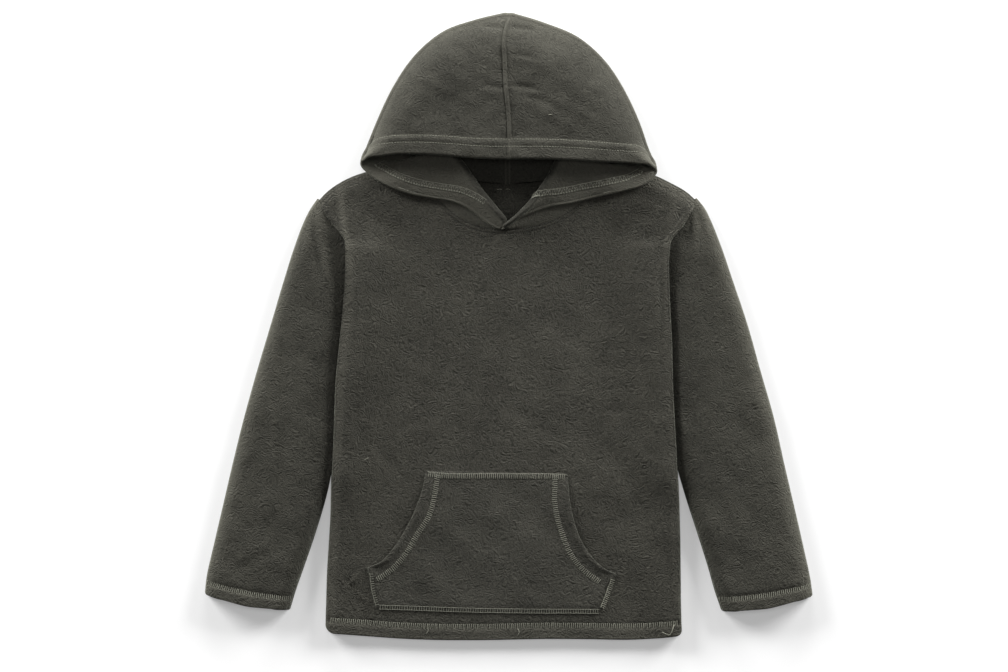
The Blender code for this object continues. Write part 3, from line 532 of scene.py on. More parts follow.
# ------------------------------------------------------------------ sizes of the stage, in metres
LIGHTS = (                      # name, place, width, height and power
    ("key_left", (-3.15, 2.65, 0.88), 2.0, 1.3, 500.0),
    ("key_right", (3.15, 2.65, 0.88), 2.0, 1.3, 500.0),
    ("key_top", (0.0, 4.05, 0.62), 1.8, 0.6, 180.0),
    ("overhead", (0.0, 0.4, 3.7), 1.8, 1.8, 36.0),
)
WORLD_LIGHT = 0.12
TABLE_HALF = 6.0                # half the table's width
TABLE_GLOW = 0.22               # the table's own light, which keeps it white
LENS = 100.0                    # the camera's lens and sensor, in millimetres
SENSOR = 36.0
VIEW_WIDTH = 1.0786             # width of the view
VIEW_MIDDLE = (-0.0048, -0.0096)
VIEW_LEVEL = 0.006              # height at which the view is that wide


# ------------------------------------------------------------------ body
def level(height, name):
    """Smooth value of one column of SIDE at a height on the body."""
    return smooth_through(SIDE["height"], SIDE[name], height)


def creases(x, y, folds):
    """Soft troughs with a low ridge beside each, along straight lines.

    Across a line the depth is a bell with a half-high bell next to it, and it fades
    towards both ends.
    """
    total = np.zeros(np.broadcast(x, y).shape)
    for k in range(len(folds["x0"])):
        run = np.array((folds["x1"][k] - folds["x0"][k], folds["y1"][k] - folds["y0"][k]))
        size = np.hypot(*run)
        way = run / size
        px, py = x - folds["x0"][k], y - folds["y0"][k]
        share = (px * way[0] + py * way[1]) / size
        off = px * way[1] - py * way[0] + folds["bow"][k] * np.sin(math.pi * np.clip(share, 0, 1))
        fade = plateau(share, (-0.05, 0.35), (0.65, 1.05))
        width = folds["width"][k]
        total += folds["depth"][k] * fade * (0.5 * hill(off - 1.7 * width, width) - hill(off, width))
    return total


def round_corners(grid, radii):
    """Turn the two square lower corners of a panel into quarter circles.

    Within the radius of both edges a place moves towards the circle's centre, in the
    ratio of the longer of its two distances from there to the straight one.
    """
    x, y = grid[..., 0], grid[..., 1]
    rise = y - y[:1]
    for hand, radius in zip((-1.0, 1.0), radii):
        up = np.clip(1.0 - rise / radius, 0.0, 1.0)
        edge = (hand * x).max(axis=1, keepdims=True)
        out = np.clip(1.0 - (edge - hand * x) / radius, 0.0, 1.0)
        part = 1.0 - np.maximum(out, up) / np.maximum(np.hypot(out, up), 1e-9)
        part = part * (out > 0.0) * (up > 0.0)
        x -= hand * radius * out * part
        y += radius * up * part
    return grid


def hem_shape(share):
    """How far the lower edge lies above its corners' level, at a share of the way across."""
    return smooth_through(HEM_LINE["share"], HEM_LINE["rise"], share)


def hem_y(x):
    """Height of the front's lower edge across the body."""
    share = (x - SIDE["left"][0]) / (SIDE["right"][0] - SIDE["left"][0])
    return SIDE["height"][0] + hem_shape(share)


def below_top(x, y):
    """Distance of a place below the shoulders and the neckline: the drop from that
    outline times the cosine of its slope."""
    neck = front_neckline(200)
    outline = np.concatenate((shoulder_line(-1)[:-1], neck[2:-2], shoulder_line(1)[::-1][1:]))
    slope = np.gradient(outline[:, 1]) / np.gradient(outline[:, 0])
    drop = np.interp(x, outline[:, 0], outline[:, 1]) - y
    return drop / np.sqrt(1.0 + np.interp(x, outline[:, 0], slope) ** 2)


def swollen(distance, width):
    """Rounded edge: a parabola from 0 at the edge to 1 at the width."""
    return 1.0 - (1.0 - np.clip(distance / width, 0.0, 1.0)) ** 2


def front_height(x, y):
    """Mid height of the front: raised along its side edges, level in the middle.

    The middle's height goes up to the shoulder fold's over the yoke.  To it are added
    the puff of the rolled sides, which fades inwards, the rise over the shoulders, and
    what the stack of layers at the edge stands higher, less and less on the way in.
    """
    inside = np.minimum(x - level(y, "left"), level(y, "right") - x)
    stack = level(y, "stack")
    start = np.maximum(SLOPE_START * (stack - 6.0), 2.0)
    raised = 1.0 - smoothstep(start, start + SLOPE_LENGTH, inside)
    middle = REST + LOFT + (SHOULDER_TOP - REST - LOFT) * smoothstep(*YOKE, y)
    puff = EDGE_PUFF * smoothstep(4.5, 12.0, stack) * swollen(inside, EDGE_PUFF_WIDTH)
    puff = puff * (1.0 - smoothstep(EDGE_PUFF_WIDTH, 36.0, inside))
    puff = puff * (1.0 - smoothstep(*EDGE_PUFF_FADE, y))
    beside = plateau(inside, (8.0, 20.0), (36.0, 60.0))
    middle = middle + ARMHOLE_FILL * hill(y - ARMHOLE_FILL_Y, 13.0) * beside
    drop = below_top(x, y)
    rise = (SHOULDER_RISE + SHOULDER_MORE * (x > 0.0)) * smoothstep(*SHOULDER_FROM, np.abs(x))
    rise = rise * swollen(drop, SHOULDER_ROUND) * (1.0 - smoothstep(28.0, 74.0, drop))
    return (middle + puff + rise
            + np.maximum(stack - middle, 0.0) * raised * (1.0 - smoothstep(132.0, 160.0, y)))


def front_painted_highlight(x, y):
    """Painted highlight on the front, where light catches it: at the sides, on the
    shoulders, along the left shoulder's crest, on the right armhole's ribs, on the sewn
    hem and along the crests of folds."""
    inside = np.minimum(x - level(y, "left"), level(y, "right") - x)
    sides = np.where(x > 0.0, SIDE_HIGHLIGHT[1] * (1.0 - smoothstep(5.0, 9.0, inside)),
                     SIDE_HIGHLIGHT[0] * (1.0 - smoothstep(7.0, 13.0, inside)))
    sides = smoothstep(0.5, 2.5, inside) * sides * (1.0 - smoothstep(90.0, 110.0, y))
    drop = below_top(x, y)
    shoulders = np.where(x > 0.0, SHOULDER_HIGHLIGHT[1] * (1.0 - smoothstep(1.0, 19.0, drop)),
                         SHOULDER_HIGHLIGHT[0] * hill(drop - 6.0, 4.0))
    shoulders = shoulders * smoothstep(*SHOULDER_FROM, np.abs(x))
    crest = np.interp(y, (60.0, 90.0, 120.0, 158.0), (-171.5, -173.0, -177.0, -180.0))
    edge = 0.16 * hill(x - crest, 2.6) * plateau(y, (84.0, 100.0), (140.0, 158.0))
    way_in = ARMHOLE_LEAN * (level(y, "right") - x)
    ribs = 0.16 * plateau(y, *ARMHOLE_OPEN) * (hill(way_in - 4.4, 1.2) + hill(way_in - 0.4, 1.2))
    above_hem = y - hem_y(x)
    band = (HEM_HIGHLIGHT[0] * (1.0 - smoothstep(*HEM_BAND, above_hem))
            + HEM_HIGHLIGHT[1] * (1.0 - smoothstep(0.0, 4.5, above_hem)))
    crests = 0.10 * np.maximum(creases(x, y, FRONT_FOLDS), 0.0)
    return sides + shoulders + edge + ribs + band + crests


def front_relief(x, y):
    """What lies on top of that: folds, the stitched hem band and a soft unevenness."""
    above_hem = y - hem_y(x)
    band = 0.5 * (1.0 - smoothstep(*HEM_BAND, above_hem))
    groove = -0.75 * hill(above_hem - HEM_STITCH, 3.6)
    pucker = 0.16 * np.sin(x * 0.9 + 2.0 * ripple(x, 0.0 * y, 40.0, 5))
    pucker = pucker * hill(above_hem - HEM_STITCH, 9.0)
    uneven = 0.22 * ripple(x, y, 62.0, 11) + 0.07 * ripple(x, y, 24.0, 12)
    folds = np.maximum(creases(x, y, FRONT_FOLDS) + uneven, -1.4)
    return folds + band + groove + pucker + sewn_grooves(x, y)


def front_top(x, y):
    """Mid height of the front with its folds."""
    return front_height(x, y) + front_relief(x, y)


def sewn_grooves(x, y):
    """Two narrow grooves, a row of stitches in each, beside the neckline, the
    shoulders and the armholes.

    The distance to an armhole is the way in from it times the cosine of its slope.
    """
    drop = below_top(x, y)
    at_neck = plateau(x, (-86.0, -66.0), (62.0, 82.0))
    rows = at_neck * (-1.2 * hill(drop - 0.8, 1.3) - 0.7 * hill(drop - 4.6, 1.1))
    at_shoulder = smoothstep(104.0, 112.0, np.abs(x))
    rows = rows - 0.35 * at_shoulder * (hill(drop - 4.4, 1.0) + hill(drop - 8.2, 1.0))
    for hand, depth in ((-1.0, 0.3), (1.0, 0.7)):
        way_in = ARMHOLE_LEAN * hand * (level(y, side_of(hand)) - x)
        pair = hill(way_in - 2.4, 0.9) + hill(way_in - 6.4, 0.9)
        rows = rows - depth * plateau(y, *ARMHOLE_OPEN) * pair
    return rows


def front_neckline(count):
    """Points along the front's neckline, left neck point to right."""
    return spread(np.stack((FRONT_NECK["x"], FRONT_NECK["y"]), axis=-1), count)


def back_neckline(count):
    """Points along the back's neckline: a shallow curve, left neck point to right."""
    x = -np.cos(math.pi * np.linspace(0.0, 1.0, count))
    y = NECK_Y - BACK_DROP * (1.0 - x * x)
    return np.stack((NECK_X + NECK_HALF * x, y), axis=-1)


def shoulder_line(hand):
    """Smooth shoulder fold from shoulder point to neck point."""
    side = side_of(hand)
    return spread(np.stack((SHOULDER[side + "_x"], SHOULDER[side + "_y"]), axis=-1), 60)


def top_edge(neck, inset, shoulder_steps, neck_steps):
    """Top boundary of a body panel: shoulder, neckline, shoulder."""
    shares = np.linspace(0.0, 1.0, shoulder_steps) ** 1.5
    across, down = SHOULDER_IN[0] * inset, SHOULDER_IN[1] * inset
    left = along(shoulder_line(-1), shares) + np.array([across, -down])
    right = along(shoulder_line(1), shares) + np.array([-across, -down])
    clear = (neck[:, 0] > left[-1, 0] + 0.3) & (neck[:, 0] < right[-1, 0] - 0.3)
    neck = np.concatenate((left[-1:], neck[clear], right[-1:]))
    neck = along(neck, np.linspace(0.0, 1.0, neck_steps + 2)[1:-1])
    points = np.concatenate((left, neck, right[::-1]))
    shoulder = np.zeros(len(points))
    shoulder[:shoulder_steps] = 1.0
    shoulder[-shoulder_steps:] = 1.0
    return points, shoulder


def fold_paths(turn, radius, flap, steps, flap_steps):
    """Paths that start level and turn round a fold, one for each row.

    Returns how far each has gone outwards and how far round after each step.  A step
    is the chord of its share of the turn, twice the radius times the sine of half of it.
    """
    turn = np.radians(turn)[:, None]
    bend = turn / steps
    step = np.maximum(2.0 * radius[:, None] * np.sin(bend / 2.0), LEAST_STEP)
    heading = bend * (np.arange(steps)[None] + 0.5)
    out = np.cumsum(step * np.cos(heading), axis=1)
    over = np.cumsum(step * np.sin(heading), axis=1)
    reach = flap[:, None] * np.linspace(0.0, 1.0, flap_steps + 1)[None, 1:]
    out = np.concatenate((0 * turn, out, out[:, -1:] + reach * np.cos(turn)), axis=1)
    over = np.concatenate((0 * turn, over, over[:, -1:] + reach * np.sin(turn)), axis=1)
    return out, over


def body_panel(top, turn_name, height_of, sign, lower, rows, flap):
    """Front or back: the grid inside its edges, then the edges turned over.

    Places in the grid go in straight lines from the lower edge to the top one.  The
    sides' own shape is added to them, times a power of the share of the way across.
    """
    low, high = SIDE["height"][0], SIDE["height"][-1] - lower
    heights = np.interp(np.linspace(0.0, 1.0, rows), (0.0, 0.13, 0.72, 1.0),
                        (low, low + 30.0, high - 64.0, high))
    turn = np.clip(level(heights, turn_name), 0.0, 180.0)
    out, over = fold_paths(turn, level(heights, "radius"), flap(heights), EDGE_STEPS, FLAP_STEPS)
    out = out - out.max(axis=1, keepdims=True) - (WALL / 2) * smoothstep(0.0, 90.0, turn)[:, None]
    left = np.stack((level(heights, "left") - out[:, 0], heights), axis=-1)
    right = np.stack((level(heights, "right") + out[:, 0], heights), axis=-1)
    top = top.copy()
    top[0] = left[-1]
    top[-1] = right[-1]
    share = np.linspace(0.0, 1.0, len(top))
    share = lerp(share, (top[:, 0] - top[0, 0]) / (top[-1, 0] - top[0, 0]), 0.6)
    bottom = lerp(left[0], right[0], share[:, None])
    bottom[:, 1] += hem_shape(share)
    v = ((heights - heights[0]) / (heights[-1] - heights[0]))[:, None, None]
    u = share[None, :, None]
    plan = (1 - v) * bottom[None] + v * top[None]
    plan = plan + (left[:, None] - lerp(left[0], left[-1], v)) * (1 - u) ** SIDE_REACH
    plan = plan + (right[:, None] - lerp(right[0], right[-1], v)) * u ** SIDE_REACH
    middle = np.dstack((plan, height_of(plan[..., 0], plan[..., 1])))
    sides = []
    for column, hand in ((0, -1.0), (-1, 1.0)):
        corner = middle[:, column][:, None]
        turned = np.repeat(corner, out.shape[1] - 1, axis=1)
        turned[..., 0] += hand * (out[:, 1:] - out[:, :1])
        turned[..., 2] += sign * over[:, 1:]
        sides.append(turned)
    return round_corners(np.concatenate((sides[0][:, ::-1], middle, sides[1]), axis=1), HEM_CORNERS)


def front_surface():
    """Front panel, hem to neck, with its top edge tucked under the shoulder lap."""
    top, _ = top_edge(front_neckline(400), 1.0 + SHOULDER_LAP, 40, 84)
    return body_panel(top, "turn", lambda x, y: front_top(x, y) - pocket_bed(x, y), -1.0, 2.4,
                      FRONT_ROWS, lambda y: level(y, "flap"))


def back_surface():
    """Back panel, flat on the table, its shoulders turned up and lapped forwards."""
    radius = (SHOULDER_TOP - FLOOR) / 2.0
    top, shoulder = top_edge(back_neckline(200), WALL / 2 + radius, 34, 50)
    flat = body_panel(top, "back_turn", lambda x, y: np.full_like(x, FLOOR), 1.0, 0.0,
                      BACK_ROWS, lambda y: np.full_like(y, 0.4))
    edge = flat[-1]
    sides = (flat.shape[1] - len(shoulder)) // 2
    shoulder = np.pad(shoulder, sides, mode="edge")
    out, over = fold_paths(np.array([180.0]), np.array([radius]), np.array([SHOULDER_LAP]),
                           LAP_STEPS, 2)
    rows = []
    way = np.sign(edge[:, 0] - NECK_X)
    for step in range(1, out.shape[1]):
        row = edge.copy()
        row[:, 0] += shoulder * way * SHOULDER_WAY[0] * out[0, step]
        row[:, 1] += shoulder * SHOULDER_WAY[1] * out[0, step]
        row[:, 2] += shoulder * over[0, step]
        row[:, 1] += (1 - shoulder) * 0.12 * step
        rows.append(row)
    return np.concatenate((flat, np.array(rows)))


# ------------------------------------------------------------------ sleeves
def armhole(hand, tip, inner, shares):
    """Armhole seam from the shoulder point to the underarm point, at shares of it.

    Below the part that shows, its way in under the body's edge grows with the square
    root of the share of the way down.
    """
    edge = side_of(hand)
    rows = SIDE["height"] > ARMHOLE_SHOWS - 1.0
    shown = np.stack((SIDE[edge][rows] + hand * ARMHOLE_GAP, SIDE["height"][rows]), axis=-1)
    hidden_y = np.linspace(ARMHOLE_SHOWS, inner[1], 40)[1:]
    depth = abs(inner[0] - level(np.array(inner[1]), edge))
    share = (ARMHOLE_SHOWS - hidden_y) / (ARMHOLE_SHOWS - inner[1])
    hidden = np.stack((level(hidden_y, edge) - hand * depth * np.sqrt(share), hidden_y), axis=-1)
    shown = spread(np.concatenate(([tip], shown[-2::-1])), 20)
    return along(np.concatenate((shown, hidden)), shares)


def side_normal(line, outwards):
    """Plan direction square to a line at each point, on the side of outwards."""
    run = np.gradient(line, axis=0)
    normal = unit(np.stack((-run[:, 1], run[:, 0]), axis=-1))
    return normal * np.sign(np.sum(normal * outwards, axis=1, keepdims=True))


def zone_soft(hand, y):
    """One beside the body, falling to nothing below the underarm and at the armhole."""
    return plateau(y, VALLEY_FOOT, VALLEY_TOP_LEFT if hand < 0 else VALLEY_TOP_RIGHT)


def stations(sizes):
    """Rings of a sleeve, closer together at the cuff: the distance of each along it, the
    length of the sleeve, the ring's two ends in plan, its share of the armhole's bulge
    and its sag."""
    ends = np.stack([sizes[name] for name in SLEEVE_COLUMNS.split()], axis=-1)
    places = distance_along(ends[:, :4].reshape(-1, 2, 2))
    length = places[-1]
    near_cuff = (1.0 - np.linspace(0.0, 1.0, CUFF_RINGS + 1)[1:]) ** 1.3
    at = np.concatenate((np.linspace(0.0, length - CUFF_LENGTH, SLEEVE_RINGS - CUFF_RINGS),
                         length - CUFF_LENGTH * near_cuff))
    ends = smooth_through(places, ends, at)
    return at, length, ends[:, 0:2], ends[:, 2:4], ends[:, 4:5], ends[:, 5:6]


def close_sleeve(line, under, upper, away_in, away_out):
    """Grid of a sleeve: its under layer, the inner fold, its upper layer and the outer
    fold.  Both folds are half circles, and the layers' edges move in by their radii."""
    turns = np.linspace(0.0, math.pi, SLEEVE_TURN + 1)[1:-1]
    r_in = ((upper[:, -1] - under[:, -1]) / 2)[:, None]
    r_out = ((upper[:, 0] - under[:, 0]) / 2)[:, None]
    low, high = np.dstack((line, under)), np.dstack((line, upper))
    for layer in (low, high):
        layer[:, -1, :2] -= away_in * r_in
        layer[:, 0, :2] -= away_out * r_out
    inner_fold = np.dstack((
        low[:, -1:, :2] + (np.sin(turns)[None] * r_in)[..., None] * away_in[:, None],
        low[:, -1:, 2] + r_in * (1 - np.cos(turns))[None]))
    outer_fold = np.dstack((
        high[:, :1, :2] + (np.sin(turns)[None] * r_out)[..., None] * away_out[:, None],
        high[:, :1, 2] - r_out * (1 - np.cos(turns))[None]))
    return np.concatenate((low, inner_fold, high[:, ::-1], outer_fold), axis=1)


def sleeve_surface(hand, sizes, folds):
    """Sleeve: a flattened tube of rings from the armhole to the cuff.

    Each ring runs along the under layer to the inner fold, round it, back along the
    upper layer and round the outer fold.
    """
    at, length, outer, inner, bulge_share, sag = stations(sizes)
    even = np.linspace(0.0, 1.0, SLEEVE_ACROSS)
    top = armhole(hand, outer[0], inner[0], even - 0.10 * np.sin(2.0 * math.pi * even))
    across = distance_along(top) / distance_along(top)[-1]
    bulge = top - lerp(outer[0], inner[0], across[:, None])
    away_out = side_normal(outer, outer - inner)
    away_in = side_normal(inner, inner - outer)
    way = unit(inner - outer)
    near = np.maximum(CUFF_CORNER - (length - at), 0.0)
    inset = (WALL / 2 + CUFF_CORNER - np.sqrt(CUFF_CORNER ** 2 - near ** 2))[:, None]
    start = outer - way * inset / np.sum(way * away_out, axis=1, keepdims=True)
    end = inner - way * inset / np.sum(way * away_in, axis=1, keepdims=True)
    line = lerp(start[:, None], end[:, None], across[None, :, None])
    line = line + bulge_share[:, :, None] * bulge[None]
    line[..., 1] -= sag * np.sin(math.pi * across)[None]
    x, y = line[..., 0], line[..., 1]
    away = hand * (x - level(y, side_of(hand)))
    zone = 1.0 - smoothstep(*BESIDE_BODY, y)
    beside = zone_soft(hand, y)
    under = FLOOR + LAYER * zone * (1.0 - smoothstep(1.5, RAMP, away))
    width = np.linalg.norm(line[:, -1] - line[:, 0], axis=1)[:, None]
    from_outer, from_inner = across[None] * width, (1.0 - across[None]) * width
    swell = swollen(from_outer, SLEEVE_ROUND) * swollen(from_inner, SLEEVE_ROUND)
    free = SLEEVE_RIM + SLEEVE_PUFF * swell + SLEEVE_DOME * np.sin(math.pi * across)[None]
    gap, steep = (GAP_LEFT, GAP_SHARE_LEFT) if hand < 0 else (GAP_RIGHT, GAP_SHARE_RIGHT)
    valley = lerp((1.0 - np.clip((away + 1.0) / VALLEY_WIDTH, 0.0, 1.0)) ** 1.5,
                  (1.0 - np.clip((away + 1.0) / gap, 0.0, 1.0)) ** 1.4, steep) * beside
    head = SHOULDER_TOP + SHOULDER_RISE * swollen(0.75 * from_outer, SHOULDER_ROUND)
    ring_share = smoothstep(0.0, 46.0, at)[:, None]
    upper = lerp(lerp(head, free, ring_share), under + LEAST_LIFT, valley)
    from_cuff = (length - at)[:, None] + 0 * x
    hem = 1.0 - smoothstep(*CUFF_BAND, from_cuff)
    groove = -0.9 * hill(from_cuff - HEM_STITCH, 3.4) + 0.5 * hem
    pucker = 0.18 * np.sin(x * 0.85 + 1.5 * ripple(x, 0.0 * y, 30.0, 9))
    pucker = pucker * hill(from_cuff - HEM_STITCH, 9.0)
    crests = creases(x, y, folds)
    relief = crests + 0.22 * ripple(x, y, 55.0, 21) + 0.12 * ripple(x, y, 22.0, 22)
    edge_fade = rounded(across * (1.0 - across) * 12.0)[None]
    upper = np.maximum(upper + (relief + groove + pucker) * edge_fade, under + LEAST_LIFT)
    # painted highlight: paler colour along the outer fold, over the outer half, by the inner fold,
    # near the shoulder point, on fold crests and on the doubled cuff
    painted_highlight = (SLEEVE_EDGE_HIGHLIGHT * np.exp(-from_outer / SLEEVE_EDGE[int(hand > 0)])
            + SLEEVE_HIGHLIGHT * lerp(1.0, smoothstep(6.0, 58.0, away), zone)
            + 0.10 * np.exp(-from_inner / 4.0) * (1.0 - beside)
            + 0.12 * hill(np.hypot(x - outer[0, 0], y - outer[0, 1]), 26.0)
            + 0.10 * np.maximum(crests, 0.0) + 0.04 * hem)
    painted_highlight = np.concatenate((painted_highlight, np.repeat(painted_highlight[:, -1:], SLEEVE_TURN - 1, axis=1), painted_highlight[:, ::-1],
                           np.repeat(painted_highlight[:, :1], SLEEVE_TURN - 1, axis=1)), axis=1)
    return close_sleeve(line, under, upper, away_in, away_out), painted_highlight


# ------------------------------------------------------------------ hood
def bend_path(turn, radius, steps):
    """One path round a fold, without a flap: how far out and how far round it is."""
    out, over = fold_paths(np.array([turn]), np.array([radius]), np.array([0.0]), steps, 1)
    return out[0, :-1], over[0, :-1]


def rib(edge, fold, roll, seam, turns, radii):
    """One rib of the hood, from the edge of its opening to its far seam.

    The middle leg runs from the fold to the roll.  At the fold the cloth turns up
    and back through turns[0] degrees to reach the edge, and at the roll it turns
    down and back through turns[1] to reach the seam.
    """
    away = unit(fold[:2] - roll[:2])
    legs = []
    for point, turn, radius, way, rise, target in (
            (fold, turns[0], radii[0], away, 1.0, edge),
            (roll, turns[1], radii[1], -away, -1.0, seam)):
        out, over = bend_path(turn, radius, TURN)
        heading = math.radians(turn)
        tip = out[-1] + HEM_TURN * max(math.cos(heading), 0.0)
        inset = WALL / 2 * (1 - math.cos(heading)) / 2
        out = out - max(out.max(), tip) - inset
        bend = np.column_stack((point[:2] + np.outer(out, way), point[2] + rise * over))
        if target is None:
            target = bend[-1] + HEM_TURN * np.append(way * math.cos(heading),
                                                     rise * math.sin(heading))
        legs.append((bend, np.asarray(target)))
    (up, end_a), (down, end_c) = legs
    leg_a = lerp(end_a, up[-1], np.linspace(0.0, 1.0, LEG_A)[:, None])
    leg_b = lerp(up[0], down[0], np.linspace(0.0, 1.0, LEG_B)[:, None])
    leg_c = lerp(down[-1], end_c, np.linspace(0.0, 1.0, LEG_C)[:, None])
    return np.concatenate((leg_a, up[-2:0:-1], leg_b, down[1:-1], leg_c))


def half_of(line, hand):
    """Half of a line across the neck, from its middle point to one side."""
    middle = len(line) // 2
    return line[middle:] if hand > 0 else line[middle::-1]


def lapel_ribs(hand, lapel):
    """Ribs of the lapel, from its outer edge over the turn down to the neckline, and
    the corner as the last of them."""
    ribs = []
    last = len(lapel["rim_x"]) - 1
    neckline = half_of(front_neckline(NECK_POINTS), hand)
    for k in range(last):
        neck = along(neckline, lapel["neck"][k]) + np.array([-hand * 0.6, 0.6])
        rim = np.array([lapel["rim_x"][k], lapel["rim_y"][k]])
        roll = np.array([lapel["roll_x"][k], lapel["roll_y"][k]])
        near = smoothstep(-1.0, 3.0, float(k))
        far = smoothstep(last - 3.0, last, float(k))
        radius = lerp(lerp(ROLL_ENDS, ROLL_RADIUS, near), ROLL_ENDS, far)
        over = TIP_LIFT * (hand > 0) * (1.0 - near)
        top = lerp(lerp(ROLL_NEAR, ROLL_TOP, near), ROLL_FAR, far) + over
        rim_z = float(front_height(*rim)) + LAYER + over
        neck_z = float(front_height(*neck))
        curl = 40.0 * smoothstep(last - 2.0, last, float(k))
        ribs.append(rib(None, np.append(rim, rim_z), np.append(roll, top),
                        np.append(neck, neck_z), (curl, 180.0), (RIM_RADIUS, radius)))
    corner = np.array([lapel["rim_x"][last], lapel["rim_y"][last], CORNER_RIM])
    neck = np.array([lapel["roll_x"][last], lapel["roll_y"][last], CORNER_NECK])
    ribs.append(rib(None, corner, neck, None, (90.0, 90.0), (RIM_RADIUS, 1.1)))
    return np.array(ribs)


def crown_ribs(hand, crown):
    """Ribs of the crown, from its lip round the outer fold and back underneath.

    The upper leg of each rises from the fold as one less the 2.2nd power of what is
    left of its rounded edge, and the last ones follow the centre seam's own way.
    """
    neckline = half_of(back_neckline(NECK_POINTS), hand)
    share = np.linspace(1.0, 0.0, LEG_A)
    count = len(crown["lip_x"])
    ribs = []
    for k in range(count):
        neck = along(neckline, crown["neck"][k]) + np.array([0.0, 0.4])
        neck[1] += 5.0 * smoothstep(0.75, 0.98, crown["neck"][k])
        lip = np.array([crown["lip_x"][k], crown["lip_y"][k]])
        out = np.array([crown["out_x"][k], crown["out_y"][k]])
        lip_z = lerp(LIP_CORNER, LIP_TOP, math.sqrt(max(1.0 - abs(lip[0] / LIP_HALF) ** 5, 0.0)))
        grow = smoothstep(-1.5, 2.0, float(k))
        made = rib(np.append(lip, lip_z), np.append(out, FLOOR), np.append(neck, FLOOR), None,
                   (180.0, 0.0), (lerp(2.2, CROWN_FOLD, grow), 1.0))
        leg = made[:LEG_A]
        length = np.linalg.norm(leg[0] - leg[-1])
        left = 1.0 - np.clip(share * length / min(CROWN_ROUND, 0.8 * length), 0.0, 1.0)
        puff = CROWN_PUFF * np.sin(math.pi * share) * smoothstep(0.0, 3.0, float(k))
        leg[:, 2] = lerp(leg[-1, 2], leg[0, 2], 1.0 - left ** 2.2) + puff
        shift = smooth_through(SEAM_PATH["share"], SEAM_PATH["shift"], 1.0 - share)
        leg[:, 0] += shift * (k / (count - 1)) ** 2
        ribs.append(made)
    return np.array(ribs)


def crown_share(grid):
    """How far each row of a hood's grid is part of the crown: nought on the lapel."""
    return smoothstep(*CROWN_FROM, np.linspace(0.0, 1.0, grid.shape[0]))[:, None]


def hood_surface(hand, lapel, crown, folds):
    """Half of the hood: lapel ribs, the corner, then crown ribs to the centre seam,
    with folds on top and the seam's ridge, or groove, along the last ribs."""
    grid = np.concatenate((lapel_ribs(hand, lapel), crown_ribs(hand, crown)))
    grid[-1, :, 0] += hand * 0.15
    places = distance_along(grid)
    even = np.linspace(0.0, 1.0, HOOD_RIBS)
    grid = smooth_through(places, grid,
                          places[-1] * np.interp(even, (0.0, 0.9, 1.0), (0.0, 0.965, 1.0)))
    x, y = grid[..., 0], grid[..., 1]
    from_seam = seam_distance(grid)
    crown_part = crown_share(grid)
    column = np.arange(grid.shape[1])[None]
    upper = (1.0 - smoothstep(LEG_A - 6.0, LEG_A + 1.0, column)) * crown_part
    lower = smoothstep(LEG_A + 10.0, LEG_A + 20.0, column) * crown_part
    fold = hill(column - LEG_A - 4.0, 16.0) * crown_part
    calm = 1.0 - 0.6 * (1.0 - smoothstep(19.0, 23.0, edge_distance(grid)))
    if hand > 0:
        ridge = 0.9 * hill(from_seam - 1.5, 1.1) - 0.25 * hill(from_seam - 4.2, 1.2)
    else:
        ridge = 0.2 * hill(from_seam - 4.4, 2.0) - 0.9 * hill(from_seam, 1.6)
    relief = (np.minimum(creases(x, y, folds), 0.12) + 0.35 * ripple(x, y, 60.0, 31)
              + 0.16 * ripple(x, y, 22.0, 32))
    grid[..., 2] += upper * (calm * ridge + relief) + 0.8 * lower * hill(from_seam, 2.0)
    grid[..., 1] -= 1.2 * fold * hill(from_seam, 2.4)
    grid[:, -4:, 2] -= np.array((0.1, 0.3, 0.6, 0.9))[None] * (1.0 - crown_part)
    return grid


def seam_distance(grid):
    """Distance of each point from the hood's centre seam, along the ribs' own order."""
    gaps = np.linalg.norm(np.diff(grid, axis=0), axis=-1)
    return np.concatenate((np.cumsum(gaps[::-1], axis=0)[::-1], 0 * gaps[:1]))


def hood_painted_highlight(grid, hand, folds):
    """Painted highlight on the hood, where light catches it: round the crown's outer fold,
    on the lapel and the doubled hem, along the ridge of the centre seam and on the crests of folds."""
    away = edge_distance(grid)
    column = np.arange(grid.shape[1])[None]
    crown = crown_share(grid)
    from_fold = np.abs(away - away[:, LEG_A + TURN // 2][:, None])
    lapel = LAPEL_HIGHLIGHT[0] + (LAPEL_HIGHLIGHT[1] - LAPEL_HIGHLIGHT[0]) * smoothstep(13.0, 17.0, away)
    lapel = lapel * smoothstep(1.0, 5.0, from_neck_edge(grid))
    hem = lerp(lapel, 0.07 * (1.0 - smoothstep(20.0, 24.0, away)), crown)
    from_seam = seam_distance(grid)
    above = column < LEG_A
    ridge = np.where(above, (0.11 if hand > 0 else 0.0) * hill(from_seam - 1.5, 0.9),
                     0.24 * hill(from_seam - 1.6, 1.0)) * crown
    crests = 0.03 * np.maximum(creases(grid[..., 0], grid[..., 1], folds), 0.0) * above * crown
    rim = RIM_HIGHLIGHT * np.exp(-from_fold / 6.0) * crown * (column < LEG_A + TURN)
    return rim + hem + ridge + crests


def hood_painted_back_shade(grid):
    """Where the cloth's back gets painted shade: on the half that lies under, inside the crown,
    and along the edge of the neck opening, where the lapel turns down."""
    under = smoothstep(LEG_A + 12.0, LEG_A + 22.0, np.arange(grid.shape[1]))[None]
    return lerp(1.0 - smoothstep(1.0, 5.0, from_neck_edge(grid)), under, crown_share(grid))


def from_neck_edge(grid):
    """Distance along each row from the edge of the neck opening, where the lapel turns down."""
    away = edge_distance(grid)
    return np.abs(away - away[:, LEG_A + TURN + LEG_B][:, None])


def edge_distance(grid):
    """Distance along each row of a grid from its first point."""
    gaps = np.linalg.norm(np.diff(grid, axis=1), axis=-1)
    return np.concatenate((0 * gaps[:, :1], np.cumsum(gaps, axis=1)), axis=1)


